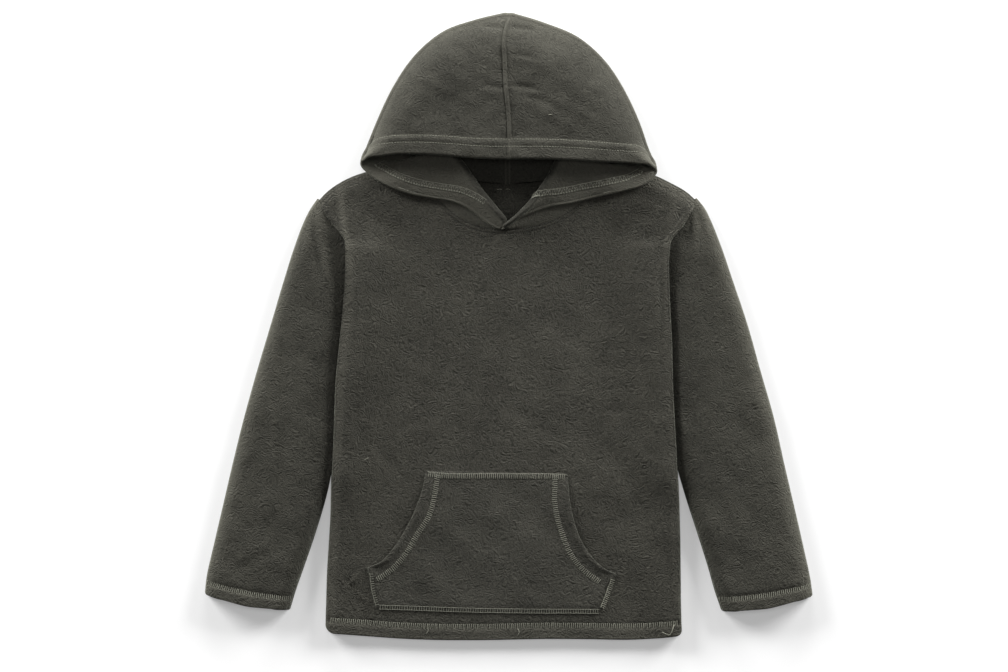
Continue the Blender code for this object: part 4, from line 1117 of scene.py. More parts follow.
def hood_wall(grid):
    """Thickness of the hood: the cloth's, and the doubled hem's less a pinch under each
    of its two rows of stitches and plus a slight pucker between them."""
    away = edge_distance(grid)
    rib_place = np.arange(grid.shape[0])[:, None]
    pucker = 0.18 * np.sin(rib_place * 1.9 + 2.0 * np.sin(rib_place * 0.37)) * hill(away - 11.0, 7.0)
    hem = HOOD_HEM_WALL * (1.0 - smoothstep(*HOOD_HEM, away))
    pinch = 0.7 * hill(away - HOOD_ROW_LOW, 1.7) + 0.4 * hill(away - HOOD_ROW_HIGH, 1.7)
    return WALL + hem - pinch + pucker


# ------------------------------------------------------------------ pocket
def pocket_surface():
    """Pocket: follows the front one layer higher, its side openings lifted.

    Rows are spaced evenly by the table's own rows below its corner, and again above.
    """
    ends = np.stack([POCKET[name] for name in ("left_x", "left_y", "right_x", "right_y")], axis=-1)
    last = len(ends) - 1
    low_at = np.linspace(0, POCKET_CORNER, POCKET_LOW_ROWS)
    high_at = np.linspace(POCKET_CORNER, last, POCKET_ROWS - POCKET_LOW_ROWS + 1)[1:]
    number = np.arange(last + 1.0)
    opening = np.interp(np.concatenate((low_at, high_at)), number, POCKET["open"])
    ends = np.concatenate((
        smooth_through(number[:POCKET_CORNER + 1], ends[:POCKET_CORNER + 1], low_at),
        smooth_through(number[POCKET_CORNER:], ends[POCKET_CORNER:], high_at)))
    share = np.linspace(0.0, 1.0, POCKET_COLUMNS)
    plan = lerp(ends[:, None, 0:2], ends[:, None, 2:4], share[None, :, None])
    bottom = (1.0 - np.linspace(0.0, 1.0, POCKET_ROWS)) ** 3
    plan[..., 1] -= POCKET_BOW * np.sin(math.pi * share)[None] * bottom[:, None]
    x, y = plan[..., 0], plan[..., 1]
    width = np.linalg.norm(ends[:, 2:4] - ends[:, 0:2], axis=1)[:, None]
    inside = np.minimum(share, 1.0 - share)[None] * width
    rolled = (1.0 - (1.0 - np.clip(inside / 5.0, 0.0, 1.0)) ** 2) * 0.55 + 0.45
    lift = POCKET_LIFT * opening[:, None] * rolled * (1.0 - smoothstep(6.0, 42.0, inside))
    wall = pocket_wall(plan, inside, opening[:, None])
    sink = POCKET_SINK * (WALL - wall) / (WALL - SEWN_WALL)
    height = front_top(x, y) - pocket_bed(x, y) + WALL / 2 + wall / 2 + 0.05 + lift - sink
    return np.dstack((plan, height)), wall


def pocket_bed(x, y):
    """How far the front is pressed down under the pocket, by the least of a place's
    distances across to the pocket's side edges and along to its lower and upper ones."""
    sides = {name: POCKET[name] for name in ("left_x", "left_y", "right_x", "right_y")}
    left = x - np.interp(y, sides["left_y"], sides["left_x"])
    right = np.interp(y, sides["right_y"], sides["right_x"]) - x
    share = (x - sides["left_x"][0]) / (sides["right_x"][0] - sides["left_x"][0])
    share = np.clip(share, 0.0, 1.0)
    bottom, top = (lerp(sides["left_y"][k], sides["right_y"][k], share) for k in (0, -1))
    bottom = bottom - POCKET_BOW * np.sin(math.pi * share)
    inside = np.minimum(np.minimum(left, right), np.minimum(y - bottom, top - y))
    return POCKET_BED * smoothstep(0.0, 12.0, inside)


def pocket_wall(plan, inside, opening):
    """Thickness of the pocket, pressed thin along the edges that are sewn down: it grows
    to the cloth's with the distance from them, and at once where it is open."""
    down = np.linalg.norm(plan - plan[:1], axis=2)
    up = np.linalg.norm(plan - plan[-1:], axis=2)
    sewn = np.minimum(0.6 * np.minimum(down, up), 0.8 * inside + 40.0 * opening)
    return lerp(SEWN_WALL, WALL, smoothstep(0.0, 7.0, sewn))


# ------------------------------------------------------------------ meshes
def vertex_normals(grid, tube):
    """Unit normal at each point, from the grid's own differences."""
    if tube:
        wide = np.concatenate((grid[:, -1:], grid, grid[:, :1]), axis=1)
        across = (wide[:, 2:] - wide[:, :-2])
    else:
        across = np.gradient(grid, axis=1)
    down = np.gradient(grid, axis=0)
    return unit(np.cross(across, down))


def quads(a, b, c, d):
    """Faces from four arrays of corner numbers."""
    return np.stack((a, b, c, d), axis=-1).reshape(-1, 4)


def point_value(piece, name, values):
    """Store one number for each point of a mesh."""
    field = piece.data.attributes.new(name, "FLOAT", "POINT")
    field.data.foreach_set("value", np.asarray(values, dtype=np.float32))


def open_edges(grid, tube):
    """Open edges of a grid: the numbers of the points round each, in order, and the
    direction outwards at each of them."""
    rows, columns = grid.shape[:2]
    index = np.arange(rows * columns).reshape(rows, columns)
    if tube:
        return [(index[0], grid[0] - grid[1]), (index[-1][::-1], (grid[-1] - grid[-2])[::-1])]
    last_r, last_c = rows - 1, columns - 1
    r = np.concatenate((np.zeros(last_c), np.arange(last_r), np.full(last_c, last_r),
                        np.arange(last_r, 0, -1))).astype(int)
    c = np.concatenate((np.arange(last_c), np.full(last_r, last_c), np.arange(last_c, 0, -1),
                        np.zeros(last_r))).astype(int)
    inner = grid[np.clip(r, 1, last_r - 1), np.clip(c, 1, last_c - 1)]
    return [(index[r, c], grid[r, c] - inner)]


def cloth_mesh(name, grid, tube=False, wall=WALL, face_at=(0.5, 0.5), face_up=True, painted_back_shade=1.0,
               painted_highlight=0.0):
    """Piece of cloth: both sides of the wall, joined by rounded edges.

    The wall lies half to each side of the grid.  Along the outer edge a half circle
    of three more rings joins the two sides.  One attribute, of painted shade, is nought on the
    cloth's face, which at the place face_at looks up or down, and on its back says how far the colour
    is darkened.
    The other holds the painted highlight: how much paler the colour is painted where light catches the
    cloth.
    """
    rows, columns = grid.shape[:2]
    count = rows * columns
    normal = vertex_normals(grid, tube)
    probe = normal[int(face_at[0] * (rows - 1)), int(face_at[1] * (columns - 1)), 2]
    # painted shade: how far the cloth's back is darkened, nought on its face
    back = np.broadcast_to(np.asarray(painted_back_shade, float), (rows, columns)).reshape(-1)
    sides = [0.0 * back, back] if (probe > 0.0) == face_up else [back, 0.0 * back]
    half = np.broadcast_to(np.asarray(wall, float) / 2, (rows, columns))
    upper, lower = grid + normal * half[..., None], grid - normal * half[..., None]
    half = half.reshape(-1, 1)
    points = [upper.reshape(-1, 3), lower.reshape(-1, 3)]
    index = np.arange(count).reshape(rows, columns)
    if tube:
        index = np.concatenate((index, index[:, :1]), axis=1)
    under = index + count
    faces = [quads(index[:-1, :-1], index[:-1, 1:], index[1:, 1:], index[1:, :-1]),
             quads(under[:-1, :-1], under[1:, :-1], under[1:, 1:], under[:-1, 1:])]
    flat_grid, flat_normal = grid.reshape(-1, 3), normal.reshape(-1, 3)
    total = 2 * count
    # painted highlight: how much paler the colour is painted at each point, also round the edges
    highlight_at_points = np.broadcast_to(np.asarray(painted_highlight, float), (rows, columns)).reshape(-1)
    highlight_rings = [highlight_at_points, highlight_at_points]
    for loop, out in open_edges(grid, tube):
        n = flat_normal[loop]
        out = unit(out - n * np.sum(out * n, axis=1, keepdims=True))
        rings = [loop]
        for lean in np.radians((45.0, 90.0, 135.0)):
            points.append(flat_grid[loop] + half[loop] * (n * math.cos(lean) + out * math.sin(lean)))
            highlight_rings.append(highlight_at_points[loop])
            rings.append(np.arange(total, total + len(loop)))
            total += len(loop)
        rings.append(loop + count)
        for a, b in zip(rings[:-1], rings[1:]):
            faces.append(quads(np.roll(a, -1), a, b, np.roll(b, -1)))
    piece = mesh_object(name, np.concatenate(points), np.concatenate(faces))
    point_value(piece, "painted_back_shade", np.pad(np.concatenate(sides), (0, total - 2 * count)))
    point_value(piece, "painted_highlight", np.concatenate(highlight_rings))
    return piece


def mesh_object(name, points, faces):
    """Smooth mesh from points in millimetres and four-cornered faces."""
    points = np.array(points)
    points[:, 2] = np.maximum(points[:, 2], 0.0)
    mesh = bpy.data.meshes.new(name)
    mesh.vertices.add(len(points))
    mesh.vertices.foreach_set("co", (points * MM).astype(np.float32).ravel())
    mesh.loops.add(len(faces) * 4)
    mesh.loops.foreach_set("vertex_index", faces.astype(np.int32).ravel())
    mesh.polygons.add(len(faces))
    mesh.polygons.foreach_set("loop_start", np.arange(0, len(faces) * 4, 4, dtype=np.int32))
    mesh.polygons.foreach_set("loop_total", np.full(len(faces), 4, dtype=np.int32))
    mesh.update(calc_edges=True)
    mesh.validate()
    mesh.shade_smooth()
    piece = bpy.data.objects.new(name, mesh)
    bpy.context.collection.objects.link(piece)
    return piece


# ------------------------------------------------------------------ threads
def on_grid(grid, rows, columns):
    """Points of a surface, and its normals on the side that faces up, at fractional
    places in its grid."""
    normal = vertex_normals(grid, False)
    r = np.clip(rows, 0, grid.shape[0] - 1.001)
    c = np.clip(columns, 0, grid.shape[1] - 1.001)
    r0, c0 = r.astype(int), c.astype(int)
    fr, fc = (r - r0)[:, None], (c - c0)[:, None]

    def blend(a):
        """Blend of the four grid points round each place."""
        return ((1 - fr) * ((1 - fc) * a[r0, c0] + fc * a[r0, c0 + 1])
                + fr * ((1 - fc) * a[r0 + 1, c0] + fc * a[r0 + 1, c0 + 1]))
    normals = unit(blend(normal))
    return blend(grid), normals * np.where(normals[:, 2:3] < 0.0, -1.0, 1.0)


def tube_mesh(paths, radius):
    """Thin four-sided tubes along several paths of the same number of points, each
    closed by a face at either end."""
    paths = np.asarray(paths, float)
    count, length = paths.shape[:2]
    run = unit(np.gradient(paths, axis=1))
    up = np.zeros_like(run)
    up[..., 2] = 1.0
    side = unit(np.cross(run, up) + 1e-9)
    up = np.cross(side, run)
    ring = np.stack((side, up, -side, -up), axis=2)
    points = paths[:, :, None] + radius * ring
    index = np.arange(count * length * 4).reshape(count, length, 4)
    a, b = index[:, :-1], index[:, 1:]
    faces = [quads(a, np.roll(a, -1, axis=2), np.roll(b, -1, axis=2), b),
             index[:, 0, ::-1], index[:, -1]]
    return points.reshape(-1, 3), np.concatenate(faces)


def seam(points, normals):
    """Placing function of a seam: a point s along the line, t across it to its left
    and h above the cloth, all in millimetres, and the seam's length."""
    length = distance_along(points[:, None])
    fine = np.linspace(0.0, length[-1], 600)
    line = sampled(fine, length, points)
    up = unit(sampled(fine, length, normals))
    across = unit(np.cross(up, np.gradient(line, axis=0)))

    def place(s, t, h):
        """Point of the seam."""
        return (sampled(s, fine, line) + sampled(s, fine, across) * t[..., None]
                + sampled(s, fine, up) * h[..., None])
    return place, length[-1]


def seam_over(height, line, half=WALL / 2):
    """Seam along a line in plan on a cloth whose mid height is a function of place."""
    line = spread(np.array(line, float), 300)
    x, y = line[:, 0], line[:, 1]
    normal = unit(np.stack((height(x - 0.5, y) - height(x + 0.5, y),
                            height(x, y - 0.5) - height(x, y + 0.5), np.ones_like(x)), axis=-1))
    return seam(np.column_stack((line, height(x, y))) + normal * half, normal)


def seam_on_grid(grid, rows, columns, half=WALL / 2):
    """Seam through fractional places of a grid."""
    points, normals = on_grid(grid, rows, columns)
    return seam(points + normals * half, normals)


def places_in_grid(grid, x, y):
    """Fractional rows and columns of points in plan, for a grid whose rows run across.

    Each row is crossed where it has the point's x; the row whose y there is the
    point's own is the one that holds it.
    """
    columns = grid.shape[1]
    share = (x[:, None] - grid[None, :, 0, 0]) / (grid[:, -1, 0] - grid[:, 0, 0])[None]
    at = np.clip(share, 0.0, 1.0) * (columns - 1.001)
    low = at.astype(int)
    row = np.arange(grid.shape[0])[None]
    level_y = lerp(grid[row, low, 1], grid[row, low + 1, 1], at - low)
    rows = np.array([np.interp(v, line, row[0]) for v, line in zip(y, level_y)])
    near = rows.astype(int)
    near_next = np.minimum(near + 1, grid.shape[0] - 1)
    point = np.arange(len(x))
    return rows, lerp(at[point, near], at[point, near_next], rows - near)


def seam_in_grid(grid, line, half=WALL / 2):
    """Seam along a line in plan on a cloth whose grid's rows run across."""
    line = spread(np.array(line, float), 300)
    rows, columns = places_in_grid(grid, line[:, 0], line[:, 1])
    points, normals = on_grid(grid, rows, columns)
    return seam(np.column_stack((line, points[:, 2])) + normals * half, normals)


def ladder_paths(place, length, width, pitch, seed, slant=0.06, proud=0.0):
    """Three-thread stitching: bars across the seam, each hooked over at its ends.

    place gives the points at a distance along the seam, across it and above it.
    Each bar is a path of seven points, sunk into the cloth at both ends.
    """
    draw = np.random.default_rng(seed)
    count = int(length / pitch)
    s = (np.arange(count) + 0.5) * length / count + draw.uniform(-0.12, 0.12, count) * pitch
    over, above = np.array(BAR).T[:, None]
    t = over * width * draw.uniform(0.92, 1.06, (count, 1))
    lean = draw.uniform(-0.12, 0.12, (count, 1)) + slant
    return place(s[:, None] + lean * t, t, above + np.full((count, 1), proud))


def row_paths(place, length, offset, stitch, seed, lift=0.25, gap=0.08):
    """One row of needle stitches: short threads end to end, sunk in between.

    Each is a path of five points over its share of the seam, less half the gap at
    either end.
    """
    draw = np.random.default_rng(seed)
    count = int(length / stitch)
    steps = np.array((gap / 2, gap / 2 + 0.08, 0.5, 0.92 - gap / 2, 1.0 - gap / 2))
    s = (np.arange(count)[:, None] + steps[None]) * length / count
    t = np.full_like(s, offset) + draw.uniform(-0.12, 0.12, (count, 1))
    return place(s, t, np.array(NEEDLE)[None] * lift * np.ones((count, 1)))


def thread_piece(name, groups, radius):
    """One object from several groups of thread paths."""
    all_points, all_faces, total = [], [], 0
    for paths in groups:
        points, faces = tube_mesh(paths, radius)
        all_points.append(points)
        all_faces.append(faces + total)
        total += len(points)
    return mesh_object(name, np.concatenate(all_points), np.concatenate(all_faces))


# ------------------------------------------------------------------ materials
class Wire:
    """A shader socket that adds Math nodes when it is used in a sum."""

    def __init__(self, maker, socket):
        self.maker = maker
        self.socket = socket

    def _with(self, operation, *others):
        """Result of a Math node for this value and others."""
        return self.maker.node("ShaderNodeMath", {"operation": operation},
                               dict(enumerate((self,) + others)))["Value"]

    def __add__(self, other):
        return self._with("ADD", other)

    def __radd__(self, other):
        return self._with("ADD", other)

    def __sub__(self, other):
        return self._with("SUBTRACT", other)

    def __rsub__(self, other):
        return self.maker.node("ShaderNodeMath", {"operation": "SUBTRACT"},
                               {0: other, 1: self})["Value"]

    def __mul__(self, other):
        return self._with("MULTIPLY", other)

    def __rmul__(self, other):
        return self._with("MULTIPLY", other)

    def wave(self):
        """Sine of the value."""
        return self._with("SINE")

    def kept(self):
        """The value kept between nought and one."""
        return self.maker.node("ShaderNodeMath", {"operation": "ADD", "use_clamp": True},
                               {0: self, 1: 0.0})["Value"]


class Outputs:
    """The outputs of a node by name or number, each as a Wire."""

    def __init__(self, maker, node):
        self.maker = maker
        self.node = node

    def __getitem__(self, name):
        return Wire(self.maker, self.node.outputs[name])


class Finish:
    """Maker of one procedural material."""

    def __init__(self, name):
        self.material = bpy.data.materials.new(name)
        self.material.use_nodes = True
        self.tree = self.material.node_tree
        self.shader = self.tree.nodes["Principled BSDF"]

    def node(self, kind, modes, inputs):
        """Node of a kind: its own modes first, then values or links for its sockets."""
        made = self.tree.nodes.new(kind)
        for key, value in modes.items():
            setattr(made, key, value)
        for key, value in inputs.items():
            self.feed(made.inputs[key], value)
        return Outputs(self, made)

    def feed(self, socket, value):
        """Put a value or a Wire into a socket."""
        if isinstance(value, Wire):
            self.tree.links.new(value.socket, socket)
        else:
            socket.default_value = value

    def noise(self, place, scale, detail, **more):
        """Noise texture at a place, with values for more of its sockets."""
        return self.node("ShaderNodeTexNoise", {},
                         {"Vector": place, "Scale": scale, "Detail": detail, **more})["Fac"]

    def attribute(self, name):
        """Number stored for each point of the mesh."""
        return self.node("ShaderNodeAttribute", {"attribute_name": name}, {})["Fac"]

    def mix(self, factor, a, b):
        """Blend of two colours; the colours' own sockets of a Mix node are 6, 7 and 2."""
        return self.node("ShaderNodeMix", {"data_type": "RGBA"}, {0: factor, 6: a, 7: b})[2]

    def set(self, **values):
        """Set the shader's own sockets; underscores stand for spaces."""
        for key, value in values.items():
            self.feed(self.shader.inputs[key.replace("_", " ")], value)
        return self.material


def grey(value):
    """Colour with three equal parts."""
    return (value, value, value, 1.0)


def shade(colour, factor):
    """Colour made lighter or darker."""
    return tuple(part * factor for part in colour[:3]) + (1.0,)


def fleece(name, colour, depth, inside=0.15, contrast=1.0):
    """Microfleece: short curled strokes of crinkled nap, fine fibres and cloudy colour.

    The strokes follow the contour lines of a slow noise: they are the sine of many
    times its value, shifted by the fine fibres and kept only where a second noise is
    high.  The cloth's back is darkened by the share inside, as painted shade, and the
    colour is painted paler where the painted highlight is set.
    """
    make = Finish(name)
    place = make.node("ShaderNodeTexCoord", {}, {})["Object"]
    broad = make.noise(place, 75.0, 1.6, Distortion=0.4)
    patch = make.noise(place, 170.0, 1.0, Distortion=0.8)
    nap = make.noise(place, 620.0, 3.0, Roughness=0.7)
    cloud = make.noise(place, 18.0, 4.0, Roughness=0.6)
    stroke = (broad * 58.0 + nap * 2.4).wave() * ((patch - 0.40) * 5.0).kept()
    crimp = (patch * 30.0 + nap * 1.6).wave()
    height = stroke * 0.42 + crimp * 0.16 + nap * 1.15
    tone = (0.44 + stroke * 0.18 + crimp * 0.06 + (nap - 0.5) * (1.85 * contrast)
            + (cloud - 0.5) * 0.7)
    base = make.mix(tone, shade(colour, 0.45), shade(colour, 1.70))
    # painted shade: the cloth's back darkened towards a tenth of its colour, by the share inside
    base = make.mix(make.attribute("painted_back_shade") * inside, base, shade(colour, 0.12))
    # painted highlight: the colour paled towards three times itself where light catches the cloth
    base = make.mix(make.attribute("painted_highlight"), base, shade(colour, 3.0))
    bump = make.node("ShaderNodeBump", {}, {"Strength": 1.0, "Distance": depth,
                                            "Height": height})["Normal"]
    return make.set(Base_Color=base, Roughness=0.96, Normal=bump, Specular_IOR_Level=0.12,
                    Sheen_Weight=0.13, Sheen_Roughness=0.35, Sheen_Tint=(0.93, 1.0, 0.82, 1.0))


def thread(name, colour):
    """Spun sewing thread, lighter and darker by a fine noise and a broad one."""
    make = Finish(name)
    place = make.node("ShaderNodeTexCoord", {}, {})["Object"]
    spun = make.noise(place, 900.0, 1.0)
    wear = make.noise(place, 60.0, 2.0)
    base = make.mix(spun * 0.5 + wear * 0.6, shade(colour, 0.55), shade(colour, 1.35))
    return make.set(Base_Color=base, Roughness=0.75, Specular_IOR_Level=0.3)


# ------------------------------------------------------------------ operators
def settings():
    """The sizes and colours that the panel shows."""
    return bpy.context.scene.jumper_cloth


class JumperCloth(bpy.types.PropertyGroup):
    """Sizes and colours of the cloth and thread."""
    body_colour: bpy.props.FloatVectorProperty(
        name="Body colour", description="Colour of the front and back", subtype="COLOR",
        default=(0.0275, 0.0264, 0.0214), min=0.0, max=1.0)
    sleeve_colour: bpy.props.FloatVectorProperty(
        name="Sleeve colour", description="Colour of the sleeves", subtype="COLOR",
        default=(0.0237, 0.0229, 0.0185), min=0.0, max=1.0)
    hood_colour: bpy.props.FloatVectorProperty(
        name="Hood colour", description="Colour of the hood", subtype="COLOR",
        default=(0.030, 0.0290, 0.0236), min=0.0, max=1.0)
    pocket_colour: bpy.props.FloatVectorProperty(
        name="Pocket colour", description="Colour of the pocket", subtype="COLOR",
        default=(0.0275, 0.0266, 0.0218), min=0.0, max=1.0)
    thread_colour: bpy.props.FloatVectorProperty(
        name="Thread colour", description="Colour of the sewing thread", subtype="COLOR",
        default=(0.165, 0.165, 0.132), min=0.0, max=1.0)
    looper_colour: bpy.props.FloatVectorProperty(
        name="Looper thread colour", description="Colour of the thinner thread of the loops",
        subtype="COLOR", default=(0.115, 0.115, 0.092), min=0.0, max=1.0)
    needle_colour: bpy.props.FloatVectorProperty(
        name="Needle thread colour", description="Colour of the thread of the seams, near the cloth's",
        subtype="COLOR", default=(0.014, 0.0135, 0.011), min=0.0, max=1.0)
    nap: bpy.props.FloatProperty(
        name="Nap", description="Height of the fleece's crinkle", unit="LENGTH",
        default=0.00078, min=0.0, max=0.01)
    thread_radius: bpy.props.FloatProperty(
        name="Thread radius", description="Half the thickness of the thread", unit="LENGTH",
        default=0.00020, min=0.00005, max=0.001)


def dress(piece, material, slot, *nodes):
    """Give a piece its material, attach it to the root and hide the CAD nodes that it stands for.  The
    slot is not used.
    """
    piece.data.materials.clear()
    piece.data.materials.append(material)
    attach(piece, "root")
    if nodes:
        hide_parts(*nodes)
    return piece


_GRIDS = {}


def grid_of(name):
    """Surface of a piece, worked out once."""
    makers = {
        "front": front_surface,
        "back": back_surface,
        "sleeve_left": lambda: sleeve_surface(-1.0, SLEEVE_LEFT, SLEEVE_FOLDS_LEFT),
        "sleeve_right": lambda: sleeve_surface(1.0, SLEEVE_RIGHT, SLEEVE_FOLDS_RIGHT),
        "hood_left": lambda: hood_surface(-1.0, LAPEL_LEFT, CROWN_LEFT, HOOD_FOLDS_LEFT),
        "hood_right": lambda: hood_surface(1.0, LAPEL_RIGHT, CROWN_RIGHT, HOOD_FOLDS_RIGHT),
        "pocket": pocket_surface,
    }
    if name not in _GRIDS:
        _GRIDS[name] = makers[name]()
    return _GRIDS[name]


class JUMPER_OT_body(bpy.types.Operator):
    """Make the front and back panels"""
    bl_idname = "jumper.body"
    bl_label = "Body"

    def execute(self, context):
        opt = settings()
        # 0.35 is the share of painted shade on the cloth's back
        finish = fleece("fleece_body", opt.body_colour, opt.nap, 0.35)
        grid = grid_of("front")
        front = dress(cloth_mesh("front_cloth", grid, painted_highlight=front_painted_highlight(grid[..., 0], grid[..., 1])),
                      finish, "fleece_body", "front")
        back = dress(cloth_mesh("back_cloth", grid_of("back"), face_up=False),
                     finish, "fleece_body", "back")
        return {"FINISHED"}


class JUMPER_OT_sleeves(bpy.types.Operator):
    """Make both sleeves"""
    bl_idname = "jumper.sleeves"
    bl_label = "Sleeves"

    def execute(self, context):
        opt = settings()
        finish = fleece("fleece_sleeve", opt.sleeve_colour, opt.nap)
        for side in ("left", "right"):
            grid, painted_highlight = grid_of("sleeve_" + side)
            piece = cloth_mesh("sleeve_cloth_" + side, grid, tube=True, face_at=(0.5, 0.7), painted_highlight=painted_highlight)
            dress(piece, finish, "fleece_sleeve", "sleeve_" + side)
        return {"FINISHED"}


class JUMPER_OT_hood(bpy.types.Operator):
    """Make both halves of the hood"""
    bl_idname = "jumper.hood"
    bl_label = "Hood"

    def execute(self, context):
        opt = settings()
        # 0.36 is the share of painted shade on the cloth's back, 0.6 the contrast of the nap
        finish = fleece("fleece_hood", opt.hood_colour, HOOD_NAP * opt.nap, 0.36, 0.6)
        for side, hand, folds in (("left", -1.0, HOOD_FOLDS_LEFT), ("right", 1.0, HOOD_FOLDS_RIGHT)):
            grid = grid_of("hood_" + side)
            piece = cloth_mesh("hood_cloth_" + side, grid, wall=hood_wall(grid), face_at=(0.8, 0.25),
                               painted_back_shade=hood_painted_back_shade(grid), painted_highlight=hood_painted_highlight(grid, hand, folds))
            dress(piece, finish, "fleece_hood", "hood_" + side)
        return {"FINISHED"}


class JUMPER_OT_pocket(bpy.types.Operator):
    """Make the kangaroo pocket"""
    bl_idname = "jumper.pocket"
    bl_label = "Pocket"

    def execute(self, context):
        opt = settings()
        finish = fleece("fleece_pocket", opt.pocket_colour, opt.nap)
        grid, wall = grid_of("pocket")
        piece = cloth_mesh("pocket_cloth", grid, wall=wall)
        dress(piece, finish, "fleece_pocket", "pocket")
        return {"FINISHED"}


def cover_seam(made, seed, pitch=2.15, width=STITCH_BAND, slant=0.06, rows=2.6, edges=(1,),
               proud=0.0):
    """Three-thread seam seen from its ladder side: bars, and a row at each of edges."""
    place, length = made
    return [ladder_paths(place, length, width, pitch, seed, slant, proud)] + [
        row_paths(place, length, side * width / 2, rows, seed + 2 + side, 0.35) for side in edges]


def looper_seam(made, seed, side, width=STITCH_BAND, pitch=3.6):
    """Loops on the back of the seam: a zigzag of loose reach and a fine row.

    Each loop is a path of seven points: how far along its pitch, how far across the
    band and how high.
    """
    place, length = made
    count = int(length / pitch)
    draw = np.random.default_rng(seed)
    start = (np.arange(count)[:, None] + draw.uniform(-0.2, 0.2, (count, 1))) * length / count
    on, over, lift = np.array(LOOP).T[:, None]
    reach = draw.uniform(0.5, 1.1, (count, 1))
    across = side * ((over + 0.5) * reach * width - width / 2)
    zigzag = place(np.clip(start + on * pitch, 0.0, length), across, lift * np.ones((count, 1)))
    return [zigzag, row_paths(place, length, side * width / 2, NEEDLE_STITCH, seed + 5, 0.2)]


def bold_row(made, seed, side, width=STITCH_BAND):
    """The chain itself, four threads side by side along the seam's lower side."""
    place, length = made
    return [row_paths(place, length, side * (step - width / 2), NEEDLE_STITCH, seed + k, 0.5)
            for k, step in enumerate((-0.6, -0.2, 0.2, 0.6))]


def body_edge_line(hand, low, high, inset, steps=24):
    """Line that follows the side of the body, a distance inside its edge."""
    heights = np.linspace(low, high, steps)
    edge = level(heights, side_of(hand))
    line = np.stack((edge, heights), axis=-1)
    return line + side_normal(line, np.array([[-hand, -0.2]])) * inset


def hood_seam(grid, lapel, away, half):
    """Seam along the hood's opening a distance from its edge: on the outside of the
    crown, or on the inside of the lapel where it shows."""
    reach = edge_distance(grid)
    share = np.linspace(0.0, 1.0, grid.shape[0])
    ribs = np.nonzero((share > 0.09) & (share < 0.44) if lapel else (share > 0.505))[0]
    columns = np.array([np.interp(away, reach[k], np.arange(grid.shape[1])) for k in ribs])
    return seam_on_grid(grid, ribs.astype(float), columns, half)


def sleeve_seams(number, hand):
    """Seams of one side's cuff, armhole and shoulder."""
    side = side_of(hand)
    grid, _ = grid_of("sleeve_" + side)
    first = SLEEVE_ACROSS + SLEEVE_TURN - 1
    top = grid[:, first:first + SLEEVE_ACROSS]
    reach = distance_along(top[:, SLEEVE_ACROSS // 2])
    row = np.interp(reach[-1] - HEM_STITCH, reach, np.arange(len(reach)))
    cuff = seam_on_grid(top, np.full(80, row), np.linspace(0.0, SLEEVE_ACROSS - 1.0, 80))
    yield "cuff_stitching_" + side, "fleece_sleeve", "pale", cover_seam(cuff, 20 + number, proud=0.1)
    groups = []
    for inset in SEAM_ROWS:
        shoulder = along(shoulder_line(hand), np.linspace(0.02, 0.90, 40))
        shoulder = shoulder + np.array([-hand * 0.35, -0.94]) * (inset + SHOULDER_LAP)
        for seed, line in ((30, body_edge_line(hand, 92.0, 128.0, inset)), (40, shoulder)):
            groups.append(row_paths(*seam_over(front_top, line), 0.0, NEEDLE_STITCH,
                                    seed + number, 0.22))
    yield "seam_stitching_" + side, "fleece_body", "dark", groups


def hood_seams(number, hand):
    """Seams of one side's half of the hood: two rows round the crown's opening, and the
    chain and its loops on the lapel."""
    side = side_of(hand)
    grid = grid_of("hood_" + side)
    rows = [row_paths(*hood_seam(grid, False, away, half), 0.0, NEEDLE_STITCH, 50 + number, proud, 0.3)
            for away, half, proud in ((HOOD_ROW_LOW, 1.6, 0.4), (HOOD_ROW_HIGH, 1.1, 0.24))]
    yield "hood_stitching_" + side, "fleece_hood", "pale", rows
    chain = (hood_seam(grid, True, LAPEL_CHAIN, 1.5), 60 + number, hand, LAPEL_BAND)
    yield "lapel_stitching_" + side, "fleece_hood", "pale", bold_row(*chain)
    yield ("lapel_loops_" + side, "fleece_hood", "faded" if hand < 0 else "pale",
           looper_seam(*chain))


def pocket_seams():
    """Seams of the pocket: the bold ones, then the fainter ones along its lower edge."""
    grid, _ = grid_of("pocket")
    groups = []
    for line, seed in ((POCKET_SEAM_LEFT, 80), (POCKET_SEAM_RIGHT, 83), (POCKET_SEAM_TOP, 86)):
        groups += cover_seam(seam_in_grid(grid, line), seed, edges=())
    groups += cover_seam(seam_in_grid(grid, POCKET_TAB_RIGHT), 92, 2.0, 4.4)
    yield "pocket_stitching", "fleece_pocket", "pale", groups
    low = seam_in_grid(grid, POCKET_SEAM_LOW)
    above_top = seam_in_grid(grid, np.array(POCKET_SEAM_TOP) + np.array([0.0, 2.6]))
    groups = ([ladder_paths(*low, 4.2, 2.6, 89, 0.06, -0.42), row_paths(*low, 2.1, 2.6, 90, -0.08),
               row_paths(*low, -2.1, 2.6, 91, -0.12)]
              + cover_seam(seam_in_grid(grid, POCKET_TAB_LEFT), 95, 2.4, 3.4)
              + [row_paths(*above_top, 0.0, 2.6, 97, 0.35)])
    yield "pocket_hem_stitching", "fleece_pocket", "faded", groups


